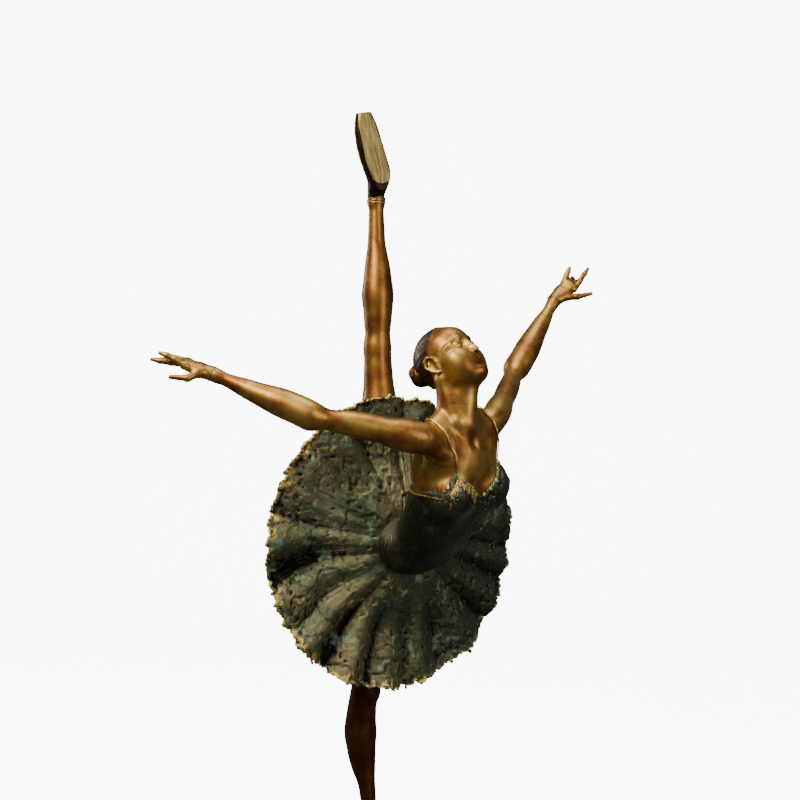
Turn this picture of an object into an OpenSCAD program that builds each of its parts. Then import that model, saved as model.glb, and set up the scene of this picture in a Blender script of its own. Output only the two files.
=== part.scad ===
// Bronze statuette of a dancer in a deep arabesque, on a round marble base.
// Millimetres. Z is up. The origin is the centre of the underside of the base.

/* [Base] */
// Diameter of the marble base
base_d = 180; // [165:1:220]
// Thickness of the marble base
base_t = 36; // [32:1:50]
// Thickness of the felt pad under the base
felt_t = 2; // [1:0.5:3]
// Diameter of the bronze disc under the standing toe
plate_d = 44; // [38:1:60]
// Diameter of the threaded stud
stud_d = 8; // [6:1:8]

/* [Figure] */
// Height of the figure, from the standing toe to the raised toe
figure_h = 646; // [600:1:700]
// Girth of the limbs and the torso, as a share of the usual one
girth = 1; // [0.94:0.01:1.06]
// Wall of the hollow castings
wall = 3; // [2.5:0.5:3.5]
// Diameter of the dowels between the castings
dowel_d = 4; // [3:0.5:4]
// Length of the dowels between the castings
dowel_l = 22; // [16:1:24]

/* [Head] */
// Height of the head, from the chin to the crown
head_h = 57; // [54:1:60]
// Turn of the face away from the front
face_turn = 50; // [44:1:56]
// Upward tilt of the face
face_tilt = 38; // [32:1:42]
// Thickness of the hair over the skull
hair_t = 1.6; // [1.2:0.1:2.4]

/* [Tutu] */
// Radius of the tutu
tutu_r = 120; // [112:1:124]
// Turn of the tutu away from the front
tutu_turn = 34; // [30:1:38]
// Number of flutes round the tutu
flutes = 13; // [9:1:15]
// Height of a flute at the rim
flute_h = 6; // [3:0.5:8]
// Rise of the tutu from its rim to the waist
tutu_rise = 18; // [12:1:22]
// Thickness of each skirt
skirt_t = 3; // [2.5:0.5:4]

/* [Hidden] */

// Sides of a torso section, a limb section and a cord section
torso_sides = 28;
limb_sides = 16;
cord_sides = 8;
// Sections drawn between two key sections
steps = 3;

bore_fn = 48;
play = 0.1;
bend_bead = 0.8;
base_top = felt_t + base_t;
nut_w = stud_d * 1.62;
nut_h = stud_d * 0.8;
washer_d = stud_d * 2.6;
washer_t = 1.6;
pocket_d = stud_d * 3.5;
pocket_h = 16;
plate_t = 4;
toe_at = [-6, 18, base_top + plate_t];

// Joints of the figure, measured from the standing toe on a figure 646 mm high
size = figure_h / 646;
function at(p) = toe_at + p * size;
sole_ankle = at([-3, 5, 66]);
sole_knee = at([-6, 5, 166]);
low_hip = at([0, -7, 276]);
seat = at([8, -2, 290]);
high_hip = at([20, 3, 304]);
high_knee = at([1, 20, 462]);
high_ankle = at([1, 18, 565]);
high_toe = at([-11, 8, 642]);
tutu_at = at([20, -20, 288]);
head_at = at([61, -108, 434]);
right_shoulder = at([38, -132, 375]);
right_elbow = at([-41, -145, 391]);
right_wrist = at([-114, -135, 422]);
right_tip = at([-161, -130, 430]);
left_shoulder = at([94, -80, 388]);
left_elbow = at([115, -12, 426]);
left_wrist = at([152, 27, 487]);
left_tip = at([183, 44, 515]);

bronze = "#8A5527";
dark_bronze = "#4A2A10";
shoe_bronze = "#6A5530";
skirt_bronze = "#5C5440";
bodice_bronze = "#23281F";
gold_bronze = "#C9A060";
hair_bronze = "#2E1B0E";
steel = "#9A9EA2";

// ---- vectors ----
function unit(v) = v / norm(v);
function mix(a, b, t) = a + (b - a) * t;
function mean(ring) = [for (p = ring) 1] * ring / len(ring);
function reversed(list) = [for (i = [len(list) - 1:-1:0]) list[i]];
function heading(turn, rise) = [cos(rise) * sin(turn), -cos(rise) * cos(turn), sin(rise)];

out = heading(tutu_turn, 0);
across = heading(tutu_turn + 90, 0);
up = [0, 0, 1];

// ---- sections: centre, sideways, along, half width, half depth ----
function key(centre, side, along, a, b) = concat(centre, side, along, [a, b]);
function part(k, from) = [k[from], k[from + 1], k[from + 2]];
function front_of(k) = unit(cross(part(k, 3), part(k, 6)));
function side_of(k) = unit(cross(part(k, 6), front_of(k)));
function ring_of(k, sides, grow = 0) = [
    for (i = [0:sides - 1])
        let (t = 360 * i / sides)
        part(k, 0) + (k[9] + grow) * cos(t) * side_of(k) + (k[10] + grow) * sin(t) * front_of(k)
];
function bend(p, q, r, s, t) =
    (2 * q + (r - p) * t + (2 * p - 5 * q + 4 * r - s) * t * t + (3 * q - p - 3 * r + s) * t * t * t) / 2;
function eased(keys) = let (last = len(keys) - 1) [
    for (k = [0:last - 1])
        for (s = [0:steps - 1])
            bend(keys[max(k - 1, 0)], keys[k], keys[k + 1], keys[min(k + 2, last)], s / steps),
    keys[last]
];
function rings_of(keys, sides, grow = 0) = [for (k = eased(keys)) ring_of(k, sides, grow)];

// ---- closed skins over a run of rings ----
function facing(rings) =
    cross(rings[0][1] - rings[0][0], rings[0][2] - rings[0][1]) * (mean(rings[1]) - mean(rings[0])) > 0
    ? rings
    : [for (r = rings) reversed(r)];
function skin(count, sides, start = 0) = [
    for (k = [0:count - 2])
        for (i = [0:sides - 1])
            let (
                a = start + k * sides + i,
                b = start + k * sides + (i + 1) % sides,
                c = b + sides,
                d = a + sides
            )
            each [[a, d, c], [a, c, b]]
];
function flipped(faces) = [for (f = faces) reversed(f)];
function cap(sides, start) = [for (i = [0:sides - 1]) start + i];
function collar(sides, outer, inner) = [
    for (i = [0:sides - 1])
        let (j = (i + 1) % sides)
        each [[outer + i, outer + j, inner + j], [outer + i, inner + j, inner + i]]
];

module loft(rings) {
    fair = facing(rings);
    sides = len(fair[0]);
    count = len(fair);
    polyhedron(
        points = [for (r = fair) each r],
        faces = concat(
            skin(count, sides),
            [cap(sides, 0)],
            [reversed(cap(sides, (count - 1) * sides))]
        )
    );
}

// A wall between two runs of rings, open at both ends
module sleeve(outer, inner) {
    a = facing(outer);
    b = facing(inner);
    sides = len(a[0]);
    count = len(a);
    total = count * sides;
    polyhedron(
        points = concat([for (r = a) each r], [for (r = b) each r]),
        faces = concat(
            skin(count, sides),
            flipped(skin(count, sides, total)),
            collar(sides, 0, total),
            flipped(collar(sides, total - sides, 2 * total - sides))
        )
    );
}

// A wall between two runs of rings, open at the first ring and closed at the last
module bowl(outer, inner) {
    a = facing(outer);
    b = facing(inner);
    sides = len(a[0]);
    count = len(a);
    total = count * sides;
    polyhedron(
        points = concat([for (r = a) each r], [for (r = b) each r]),
        faces = concat(
            skin(count, sides),
            flipped(skin(count, sides, total)),
            collar(sides, 0, total),
            [reversed(cap(sides, total - sides))],
            [cap(sides, 2 * total - sides)]
        )
    );
}

// A round cord along a run of points
module cord(points, radius) {
    last = len(points) - 1;
    loft([
        for (i = [0:last])
            ring_of(
                key(
                    points[i],
                    across + 0.3 * up,
                    unit(points[min(i + 1, last)] - points[max(i - 1, 0)]),
                    radius,
                    radius
                ),
                cord_sides
            )
    ]);
}

// A cylinder from one point towards another
module rod(from, to, d, fn = bore_fn) {
    v = to - from;
    translate(from)
        rotate([0, acos(v[2] / norm(v)), atan2(v[1], v[0])])
            cylinder(h = norm(v), d = d, $fn = fn);
}
module dowel(middle, along, grow = 0) {
    half = unit(along) * (dowel_l + grow) / 2;
    rod(middle - half, middle + half, dowel_d + grow);
}

// ---- limbs: stations are [segment, share of it, half width, half depth, bow to the front] ----
function limb_key(joints, side, s) =
    let (
        from = joints[s[0]],
        to = joints[s[0] + 1],
        along = unit(to - from),
        front = unit(cross(side, along))
    )
    key(mix(from, to, s[1]) + front * s[4] * size, side, along, s[2] * girth, s[3] * girth);
function limb(joints, side, stations) = [for (s = stations) limb_key(joints, side, s)];

// ---- base ----
module marble_base() {
    edge = 5;
    r = base_d / 2;
    color("#1C1B1A")
        difference() {
            rotate_extrude($fn = 128)
                polygon([
                    [0, felt_t],
                    [r - 2, felt_t],
                    [r, felt_t + 2],
                    [r, base_top - edge],
                    for (i = [1:5]) [r - edge + edge * cos(18 * i), base_top - edge + edge * sin(18 * i)],
                    [0, base_top]
                ]);
            translate([toe_at[0], toe_at[1], felt_t - 1])
                cylinder(h = pocket_h + 1, d = pocket_d, $fn = bore_fn);
            translate([toe_at[0], toe_at[1], 0])
                cylinder(h = base_top + 1, d = stud_d + 1, $fn = bore_fn);
        }
}

module base_felt() {
    color("#23402C")
        difference() {
            cylinder(h = felt_t, d = base_d - 8, $fn = 96);
            translate([toe_at[0], toe_at[1], -1])
                cylinder(h = felt_t + 2, d = pocket_d + 2, $fn = bore_fn);
        }
}

nut_z = felt_t + pocket_h - washer_t - nut_h;
module base_stud() {
    color(steel)
        translate([toe_at[0], toe_at[1], nut_z - 3])
            cylinder(h = toe_at[2] + 16 - nut_z + 3, d = stud_d, $fn = bore_fn);
}

module stud_washer() {
    color(steel)
        translate([toe_at[0], toe_at[1], felt_t + pocket_h - washer_t])
            difference() {
                cylinder(h = washer_t, d = washer_d, $fn = bore_fn);
                translate([0, 0, -1])
                    cylinder(h = washer_t + 2, d = stud_d + 0.4, $fn = bore_fn);
            }
}

module stud_nut() {
    color(steel)
        translate([toe_at[0], toe_at[1], nut_z])
            difference() {
                cylinder(h = nut_h, d = nut_w / cos(30), $fn = 6);
                translate([0, 0, -1])
                    cylinder(h = nut_h + 2, d = stud_d, $fn = bore_fn);
            }
}

module toe_plate() {
    r = plate_d / 2;
    color(dark_bronze)
        translate([toe_at[0], toe_at[1], base_top])
            difference() {
                rotate_extrude($fn = 96)
                    polygon([[0, 0], [r, 0], [r, 1.2], [r - 2, 2.6], [r - 6, plate_t], [0, plate_t]]);
                translate([0, 0, -1])
                    cylinder(h = plate_t + 2, d = stud_d + play, $fn = bore_fn);
            }
}

// ---- legs ----
leg_side = unit(across + 0.2 * out);
low_joints = [toe_at, sole_ankle, sole_knee, low_hip];
high_joints = [high_toe, high_ankle, high_knee, high_hip];

shoe_stations = [
    [0, 0, 6.6, 5.6, 0],
    [0, 0.04, 7.6, 6.6, 0],
    [0, 0.2, 10, 8, 0],
    [0, 0.45, 11, 9.6, 1],
    [0, 0.68, 10, 11, 1.5],
    [0, 0.86, 8, 10.6, 0],
    [0, 0.97, 6.9, 7.8, -1]
];
leg_stations = [
    [0, 0.97, 6.5, 7.4, -1],
    [1, 0.08, 6.3, 6.9, -1],
    [1, 0.25, 7.2, 7.6, -1],
    [1, 0.45, 10, 10, -2],
    [1, 0.65, 11.8, 12, -2.5],
    [1, 0.85, 10.4, 10.6, -1],
    [2, 0, 10.6, 11, 0],
    [2, 0.15, 11.4, 11.8, 0],
    [2, 0.4, 14, 15, 1],
    [2, 0.62, 16, 17.4, 1],
    [2, 0.8, 17.4, 19, 0]
];

module standing_shoe() {
    color(shoe_bronze)
        difference() {
            loft(rings_of(limb(low_joints, leg_side, shoe_stations), limb_sides));
            translate([toe_at[0], toe_at[1], toe_at[2] - 1])
                cylinder(h = 17, d = stud_d, $fn = bore_fn);
            leg_armature_rod(play);
        }
}

// The rod that stiffens the standing leg, from the shoe up into the pelvis
module leg_armature_rod(grow = 0) {
    rod(mix(toe_at, sole_ankle, 0.6), sole_ankle, dowel_d + grow);
    rod(sole_ankle, sole_knee, dowel_d + grow);
    rod(sole_knee, mix(sole_knee, low_hip, 0.97), dowel_d + grow);
    translate(sole_ankle)
        sphere(d = dowel_d + bend_bead + grow, $fn = bore_fn);
    translate(sole_knee)
        sphere(d = dowel_d + bend_bead + grow, $fn = bore_fn);
}
module leg_armature() {
    color(steel)
        leg_armature_rod();
}

module standing_leg() {
    color(dark_bronze)
        difference() {
            loft(rings_of(limb(low_joints, leg_side, leg_stations), limb_sides));
            leg_armature_rod(play);
        }
}

module raised_leg() {
    color(bronze)
        difference() {
            loft(rings_of(limb(high_joints, -leg_side, leg_stations), limb_sides));
            dowel(mix(high_knee, high_hip, 0.8), high_hip - high_knee, play);
            dowel(mix(high_toe, high_ankle, 0.97), high_ankle - high_toe, play);
        }
}

module raised_shoe() {
    color(shoe_bronze)
        difference() {
            loft(rings_of(limb(high_joints, -leg_side, shoe_stations), limb_sides));
            dowel(mix(high_toe, high_ankle, 0.97), high_ankle - high_toe, play);
        }
}

// The ribbon of a shoe, a narrow band round the ankle
module ribbon(joints, side) {
    band = limb(joints, side, [[1, 0.05, 6.34, 6.98, -1], [1, 0.09, 6.3, 6.9, -1]]);
    sleeve(
        [for (k = band) ring_of(k, limb_sides, 1.3)],
        [for (k = band) ring_of(k, limb_sides, 0.3)]
    );
}
module standing_ribbon() {
    color(gold_bronze)
        ribbon(low_joints, leg_side);
}
module raised_ribbon() {
    color(gold_bronze)
        ribbon(high_joints, -leg_side);
}

// ---- torso and pelvis ----
waist_at = tutu_at + out * tutu_rise;
chest_side = unit([0.72, 0.68, 0.16]);
torso_keys = [
    key(waist_at, across, out, 27 * girth, 20.5 * girth),
    key(
        at([41, -54, 300]),
        unit(across + [0, 0.05, 0.03]),
        unit([0.52, -0.76, 0.36]),
        28.5 * girth,
        22 * girth
    ),
    key(at([57, -74, 316]), unit([0.78, 0.6, 0.1]), unit([0.36, -0.58, 0.66]), 33 * girth, 27 * girth),
    key(at([67, -88, 335]), chest_side, unit([0.22, -0.4, 0.86]), 37 * girth, 32 * girth),
    key(at([69, -99, 353]), chest_side, unit([0.1, -0.34, 0.92]), 36 * girth, 27 * girth),
    key(at([68, -106, 367]), chest_side, unit([0.02, -0.25, 0.96]), 33 * girth, 19.5 * girth),
    key(at([67, -109, 378]), chest_side, unit([-0.02, -0.1, 1]), 23 * girth, 14.5 * girth),
    key(at([66, -108, 386]), chest_side, unit([-0.04, 0, 1]), 15.5 * girth, 13.6 * girth),
    key(at([64.5, -107, 396]), chest_side, unit([-0.06, 0.02, 1]), 13.4 * girth, 13 * girth),
    key(at([63, -106, 408]), chest_side, unit([-0.1, 0.06, 1]), 12.6 * girth, 12.8 * girth)
];
bodice_keys = [for (i = [0:3]) torso_keys[i]];
neck_key = torso_keys[len(torso_keys) - 1];
hollow_keys = 5;    // the torso is hollow from the waist up to this key, just below the collar bones
neck_top = part(neck_key, 0);
neck_run = unit(part(neck_key, 6));

arm_start = 0.14;
right_joints = [right_shoulder, right_elbow, right_wrist, right_tip];
left_joints = [left_shoulder, left_elbow, left_wrist, left_tip];
arm_stations = [
    [0, arm_start, 9.2, 11, 0],
    [0, 0.35, 8.4, 9.6, 0],
    [0, 0.6, 7.4, 8.4, 0],
    [0, 0.85, 6.8, 7.6, 0],
    [1, 0, 6.9, 7.8, 0],
    [1, 0.2, 8, 8.6, 0],
    [1, 0.4, 7.4, 7.6, 0],
    [1, 0.7, 5.4, 5.6, 0],
    [1, 0.9, 4.4, 4.8, 0],
    [1, 1, 4.1, 5, 0]
];
arm_side = unit([0.1, -0.9, 0.3]);
module shoulder(joints) {
    loft([
        for (s = [[0, -0.2, 12, 12, 0], [0, -0.05, 11, 12.5, 0], [0, arm_start, 9.2, 11, 0]])
            ring_of(limb_key(joints, arm_side, s), limb_sides)
    ]);
}

module torso() {
    core = rings_of(torso_keys, torso_sides, -wall);
    color(bronze)
        difference() {
            union() {
                loft(rings_of(torso_keys, torso_sides));
                shoulder(right_joints);
                shoulder(left_joints);
            }
            loft(concat([[for (p = core[0]) p - out * 2]], [for (i = [0:hollow_keys * steps]) core[i]]));
            dowel(neck_top, neck_run, play);
            shoulder_dowel(right_joints, play);
            shoulder_dowel(left_joints, play);
        }
}

module bodice() {
    color(bodice_bronze)
        sleeve(
            rings_of(bodice_keys, torso_sides, 1.5),
            rings_of(bodice_keys, torso_sides, 0.05)
        );
}

// Point on the skin of the torso, between two key sections, at an angle from the figure's left
function torso_point(section, angle, proud = 0) =
    let (
        low = floor(section),
        k = mix(torso_keys[low], torso_keys[min(low + 1, len(torso_keys) - 1)], section - low)
    )
    part(k, 0) + (k[9] + proud) * cos(angle) * side_of(k) + (k[10] + proud) * sin(angle) * front_of(k);

cup_top = 3.75;
module strap(cup_angle, shoulder_angle, back_angle) {
    cord([
        torso_point(cup_top - 0.3, cup_angle, 2),
        torso_point(4, mix(cup_angle, shoulder_angle, 0.12), 1.2),
        torso_point(4.5, mix(cup_angle, shoulder_angle, 0.3), 1),
        torso_point(5, mix(cup_angle, shoulder_angle, 0.55), 1),
        torso_point(5.5, shoulder_angle, 1.4),
        torso_point(5, mix(shoulder_angle, back_angle, 0.5), 1.6),
        torso_point(4, back_angle, 1.4),
        torso_point(cup_top - 0.5, back_angle, 2)
    ], 0.7);
}
module right_strap() {
    color(gold_bronze)
        strap(132, 165, 215);
}
module left_strap() {
    color(gold_bronze)
        strap(48, 15, -35);
}

// The lace along the top of the two cups, a V at the breastbone
module lace_trim() {
    color(gold_bronze)
        for (from = [148, 32])
            cord([for (i = [0:6]) torso_point(
                3.1 + 0.45 * sin(180 * i / 6) + 0.1 * (1 - i / 6),
                mix(from, 90 + (from - 90) * 0.06, i / 6),
                2.6
            )], 1);
}

module back_cord() {
    color(gold_bronze)
        cord([for (i = [0:10]) torso_point(3.12, 156 + 22.8 * i, 2.4)], 0.6);
}

pelvis_keys = [
    key(seat - out * 18 * size, across, out, 8 * girth, 8 * girth),
    key(seat - out * 15 * size, across, out, 17 * girth, 15 * girth),
    key(seat - out * 7 * size, across, out, 25 * girth, 22 * girth),
    key(seat + out * 5 * size, across, out, 29 * girth, 24 * girth),
    key(mix(seat, waist_at, 0.6), across, out, 28.5 * girth, 22 * girth),
    key(waist_at, across, out, 27 * girth, 20.5 * girth)
];
hip_ring = leg_stations[len(leg_stations) - 1];
module hip(joints, side) {
    loft([
        for (s = [hip_ring, [2, 0.9, 17.4, 18.6, 0], [2, 1.02, 14, 14, 0]])
            ring_of(limb_key(joints, side, s), limb_sides)
    ]);
}
module pelvis() {
    core = rings_of(pelvis_keys, torso_sides, -wall);
    last = len(core) - 1;
    color(dark_bronze)
        difference() {
            union() {
                loft(rings_of(pelvis_keys, torso_sides));
                hip(low_joints, leg_side);
                hip(high_joints, -leg_side);
            }
            loft(concat([for (i = [6:last]) core[i]], [[for (p = core[last]) p + out * 2]]));
            rod(sole_knee, mix(sole_knee, low_hip, 0.97), dowel_d + play);
            dowel(mix(high_knee, high_hip, 0.8), high_hip - high_knee, play);
            skirt_pin_set(play);
        }
}

// ---- tutu ----
// Height of a skirt over the plane of its rim, flutes included
function skirt_lift(share, angle, count, phase) =
    tutu_rise * pow(1 - share, 1.4)
    + flute_h * pow(share, 1.6) * sin(count * angle + phase) * (1 + 0.35 * sin(3 * angle + phase));
function skirt_ring(share, back, radius, count, phase, sides) = [
    for (i = [0:sides - 1])
        let (
            angle = 360 * i / sides,
            reach_a = mix(31 * girth, radius, share),
            reach_b = mix(25 * girth, radius, share)
        )
        tutu_at
        + across * reach_a * cos(angle)
        + up * reach_b * sin(angle)
        + out * (skirt_lift(share, angle, count, phase) - back)
];
module skirt(radius, count, phase, behind, sides, bands) {
    front = [for (s = [0:bands]) skirt_ring(s / bands, behind, radius, count, phase, sides)];
    rear = [for (s = [0:bands]) skirt_ring(s / bands, behind + skirt_t, radius, count, phase, sides)];
    total = (bands + 1) * sides;
    polyhedron(
        points = concat([for (r = front) each r], [for (r = rear) each r]),
        faces = concat(
            skin(bands + 1, sides),
            flipped(skin(bands + 1, sides, total)),
            collar(sides, 0, total),
            flipped(collar(sides, total - sides, 2 * total - sides))
        )
    );
}
module overskirt() {
    color(skirt_bronze)
        skirt(tutu_r, flutes, 0, 0, flutes * 10, 9);
}
module underskirt() {
    color(skirt_bronze)
        skirt(tutu_r * 0.9, flutes, 0, skirt_t + 3, flutes * 8, 5);
}

// Four pins that hold the skirts to the hips
module skirt_pin_set(grow = 0) {
    for (i = [0:3]) {
        a = 45 + 90 * i;
        spoke = across * cos(a) + up * sin(a);
        middle = waist_at - out * 7;
        rod(middle + spoke * 17, middle + spoke * 34 * girth, 3 + grow);
    }
}
module skirt_pins() {
    color(steel)
        skirt_pin_set();
}

module waist_sash() {
    band = [for (i = [0:3]) key(
        waist_at - out * (2 - i * 3.4),
        across,
        out,
        (28.8 + 0.6 * sin(60 * i)) * girth,
        (22.3 + 0.6 * sin(60 * i)) * girth
    )];
    color(bodice_bronze)
        sleeve(
            [for (k = band) ring_of(k, torso_sides, 1.6)],
            [for (k = band) ring_of(k, torso_sides, 0.2)]
        );
}

// ---- head ----
face_out = heading(face_turn, face_tilt);
head_up = heading(face_turn, face_tilt + 90);
head_side = unit(cross(head_up, face_out));
chin_at = head_at - head_up * head_h * 0.5;
// Sections of the head: height, shift to the face, half width, half depth, as shares of its height
head_sections = [
    [0, 0.27, 0.07, 0.05],
    [0.05, 0.22, 0.17, 0.17],
    [0.18, 0.1, 0.26, 0.31],
    [0.36, 0.02, 0.32, 0.4],
    [0.56, -0.01, 0.345, 0.44],
    [0.74, -0.03, 0.335, 0.42],
    [0.88, -0.05, 0.27, 0.33],
    [0.97, -0.05, 0.13, 0.17],
    [1, -0.05, 0.03, 0.04]
];
head_keys = [
    for (s = head_sections)
        key(
            chin_at + (head_up * s[0] + face_out * s[1]) * head_h,
            head_side,
            head_up,
            s[2] * head_h,
            s[3] * head_h
        )
];
head_sides = 24;
head_fine = eased(head_keys);
function head_point(share, angle, grow = 0) =
    let (
        place = share * (len(head_fine) - 1),
        low = min(floor(place), len(head_fine) - 2),
        k = mix(head_fine[low], head_fine[low + 1], place - low)
    )
    part(k, 0) + (k[9] + grow) * cos(angle) * side_of(k) + (k[10] + grow) * sin(angle) * front_of(k)
    + head_up * grow * share;

module ear(side) {
    middle = chin_at + (head_up * 0.4 - face_out * 0.02 + head_side * side * 0.325) * head_h;
    loft([
        for (s = [[-0.09, 0.02], [-0.06, 0.045], [0.02, 0.06], [0.08, 0.055], [0.11, 0.02]])
            ring_of(key(
                middle + (head_up * s[0] - face_out * 0.02) * head_h,
                head_side,
                head_up,
                0.035 * head_h,
                s[1] * head_h
            ), cord_sides)
    ]);
}
module nose() {
    loft([
        for (s = [
            [0.33, 0.4, 0.035, 0.06],
            [0.37, 0.42, 0.055, 0.09],
            [0.45, 0.41, 0.03, 0.06],
            [0.55, 0.39, 0.02, 0.04]
        ])
            ring_of(key(
                chin_at + (head_up * s[0] + face_out * s[1]) * head_h,
                head_side,
                head_up,
                s[2] * head_h,
                s[3] * head_h
            ), cord_sides)
    ]);
}
// The top of the neck, from the cut at the torso up into the skull
module nape() {
    loft(rings_of([
        neck_key,
        key(
            mix(neck_top, head_at, 0.3) - face_out,
            chest_side,
            unit(neck_run + head_up),
            13 * girth,
            13.4 * girth
        ),
        key(mix(neck_top, head_at, 0.6) - face_out * 2, head_side, head_up, 13.6 * girth, 14.4 * girth),
        key(head_at - face_out * 3, head_side, head_up, 12 * girth, 13 * girth)
    ], torso_sides));
}
module head() {
    color(bronze)
        difference() {
            union() {
                loft(rings_of(head_keys, head_sides));
                nape();
                ear(1);
                ear(-1);
                nose();
            }
            head_core();
            dowel(neck_top, neck_run, play);
        }
}
module head_core() {
    translate(chin_at + (head_up * 0.62 - face_out * 0.04) * head_h)
        sphere(r = 0.24 * head_h, $fn = 48);
}

// The hair starts lower at the back of the head than over the brow
function hairline(angle) = 0.56 - 0.28 * (1 - sin(angle)) / 2 - 0.04 * cos(2 * angle);
module hair() {
    bands = 6;
    shares = [for (i = [0:bands]) i / bands];
    color(hair_bronze)
        bowl(
            [for (s = shares) [for (i = [0:head_sides - 1]) let (t = 360 * i / head_sides)
                head_point(mix(hairline(t), 0.985, s), t, hair_t)]],
            [for (s = shares) [for (i = [0:head_sides - 1]) let (t = 360 * i / head_sides)
                head_point(mix(hairline(t), 0.985, s), t, 0.05)]]
        );
}
module hair_bun() {
    middle = chin_at + (head_up * 0.66 - face_out * 0.56) * head_h;
    color(hair_bronze)
        loft([
            for (i = [0:8])
                let (t = 20 * i + 10)
                ring_of(key(
                    middle - face_out * 7 * cos(t),
                    head_side,
                    face_out,
                    10.5 * sin(t),
                    10.5 * sin(t)
                ), limb_sides)
        ]);
}

// ---- arms and hands ----
module arm(joints) {
    difference() {
        loft(rings_of(limb(joints, arm_side, arm_stations), limb_sides));
        shoulder_dowel(joints, play);
        wrist_dowel(joints, play);
    }
}
module shoulder_dowel(joints, grow = 0) {
    dowel(mix(joints[0], joints[1], arm_start), joints[1] - joints[0], grow);
}
module wrist_dowel(joints, grow = 0) {
    along = unit(joints[2] - joints[1]);
    rod(joints[2] - along * 8, joints[2] + along * 8, 3 + grow);
}
module right_arm() {
    color(bronze)
        arm(right_joints);
}
module left_arm() {
    color(bronze)
        arm(left_joints);
}

// A finger: root offset across the palm, length, spread and droop in degrees, thickness
fingers = [
    [-0.5, 0.96, -16, 4, 2.1],
    [-0.17, 1, -5, -6, 2.2],
    [0.17, 0.98, 3, -10, 2.2],
    [0.48, 0.92, 13, -4, 2]
];
module finger(root, along, side, droop_to, length, radius) {
    tip_dir = unit(along + droop_to * 0.35);
    mid = root + along * length * 0.55;
    tip = mid + tip_dir * length * 0.45;
    loft([
        for (s = [
            [root, along, 1],
            [mid, unit(along + tip_dir), 0.92],
            [mix(mid, tip, 0.8), tip_dir, 0.8],
            [tip, tip_dir, 0.35]
        ])
            ring_of(key(s[0], side, s[1], radius * s[2], radius * s[2]), cord_sides)
    ]);
}
module hand(joints, side, thumb) {
    reach = joints[3] - joints[2];
    length = norm(reach);
    along = unit(reach);
    from = unit(joints[2] - joints[1]);
    back = unit(cross(side, along));
    palm = joints[2] + along * length * 0.46;
    difference() {
        union() {
            loft([
                ring_of(key(joints[2], side, from, 4.1 * girth, 5 * girth), limb_sides),
                ring_of(key(mix(joints[2], palm, 0.3), side, along, 5.4, 4), limb_sides),
                ring_of(key(mix(joints[2], palm, 0.75), side, along, 7.6, 3.6), limb_sides),
                ring_of(key(palm, side, along, 7, 2.8), limb_sides)
            ]);
            for (f = fingers)
                finger(
                    mix(joints[2], palm, 0.9) + side * f[0] * 11,
                    unit(along + side * tan(f[2]) + back * tan(f[3])),
                    side,
                    -back,
                    length * 0.58 * f[1],
                    f[4]
                );
            finger(
                mix(joints[2], palm, 0.35) + side * thumb * 4,
                unit(along + side * thumb * 0.8 - back * 0.5),
                side,
                along,
                length * 0.45,
                2.4
            );
        }
        wrist_dowel(joints, play);
    }
}
right_palm_side = unit([0.15, 0.75, 0.6]);
left_palm_side = unit([-0.55, 0.75, 0.1]);
module right_hand() {
    color(bronze)
        hand(right_joints, right_palm_side, -1);
}
module left_hand() {
    color(bronze)
        hand(left_joints, left_palm_side, -1);
}

// ---- dowels ----
module neck_dowel() {
    color(steel)
        dowel(neck_top, neck_run);
}
module shoulder_dowels() {
    color(steel) {
        shoulder_dowel(right_joints);
        shoulder_dowel(left_joints);
    }
}
module wrist_dowels() {
    color(steel) {
        wrist_dowel(right_joints);
        wrist_dowel(left_joints);
    }
}
module hip_dowel() {
    color(steel)
        dowel(mix(high_knee, high_hip, 0.8), high_hip - high_knee);
}
module raised_ankle_dowel() {
    color(steel)
        dowel(mix(high_toe, high_ankle, 0.97), high_ankle - high_toe);
}

marble_base();
base_felt();
base_stud();
stud_washer();
stud_nut();
toe_plate();
standing_shoe();
standing_ribbon();
standing_leg();
leg_armature();
pelvis();
raised_leg();
raised_shoe();
raised_ribbon();
overskirt();
underskirt();
skirt_pins();
waist_sash();
torso();
bodice();
lace_trim();
right_strap();
left_strap();
back_cord();
head();
hair();
hair_bun();
right_arm();
right_hand();
left_arm();
left_hand();
neck_dowel();
shoulder_dowels();
wrist_dowels();
hip_dowel();
raised_ankle_dowel();
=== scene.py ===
import math

import bpy
import numpy as np
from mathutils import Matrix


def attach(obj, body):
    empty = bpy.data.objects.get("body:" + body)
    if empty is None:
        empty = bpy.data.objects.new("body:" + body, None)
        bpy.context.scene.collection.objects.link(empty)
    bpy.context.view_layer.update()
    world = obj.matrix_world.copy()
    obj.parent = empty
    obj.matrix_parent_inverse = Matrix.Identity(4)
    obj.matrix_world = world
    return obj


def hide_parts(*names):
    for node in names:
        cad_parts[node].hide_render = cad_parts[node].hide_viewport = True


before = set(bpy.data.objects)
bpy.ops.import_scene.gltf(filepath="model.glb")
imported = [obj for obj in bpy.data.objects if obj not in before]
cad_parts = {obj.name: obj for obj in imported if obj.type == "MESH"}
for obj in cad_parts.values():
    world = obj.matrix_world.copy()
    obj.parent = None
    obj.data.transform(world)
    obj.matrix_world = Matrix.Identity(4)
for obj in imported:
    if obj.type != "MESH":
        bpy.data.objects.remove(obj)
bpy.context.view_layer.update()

import openvdb
from mathutils import Vector
from mathutils.bvhtree import BVHTree

mm = 0.001


# small vector helpers, all in millimetres
def vec(*numbers):
    return np.array(numbers, float)


def unit(v):
    v = np.asarray(v, float)
    return v / np.linalg.norm(v)


def mix(a, b, t):
    return a + (b - a) * t


def ramp(x, low, high):
    t = np.clip((x - low) / (high - low), 0, 1)
    return t * t * (3 - 2 * t)


def heading(turn, rise):
    turn = math.radians(turn)
    rise = math.radians(rise)
    return vec(math.cos(rise) * math.sin(turn), -math.cos(rise) * math.cos(turn), math.sin(rise))


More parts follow.
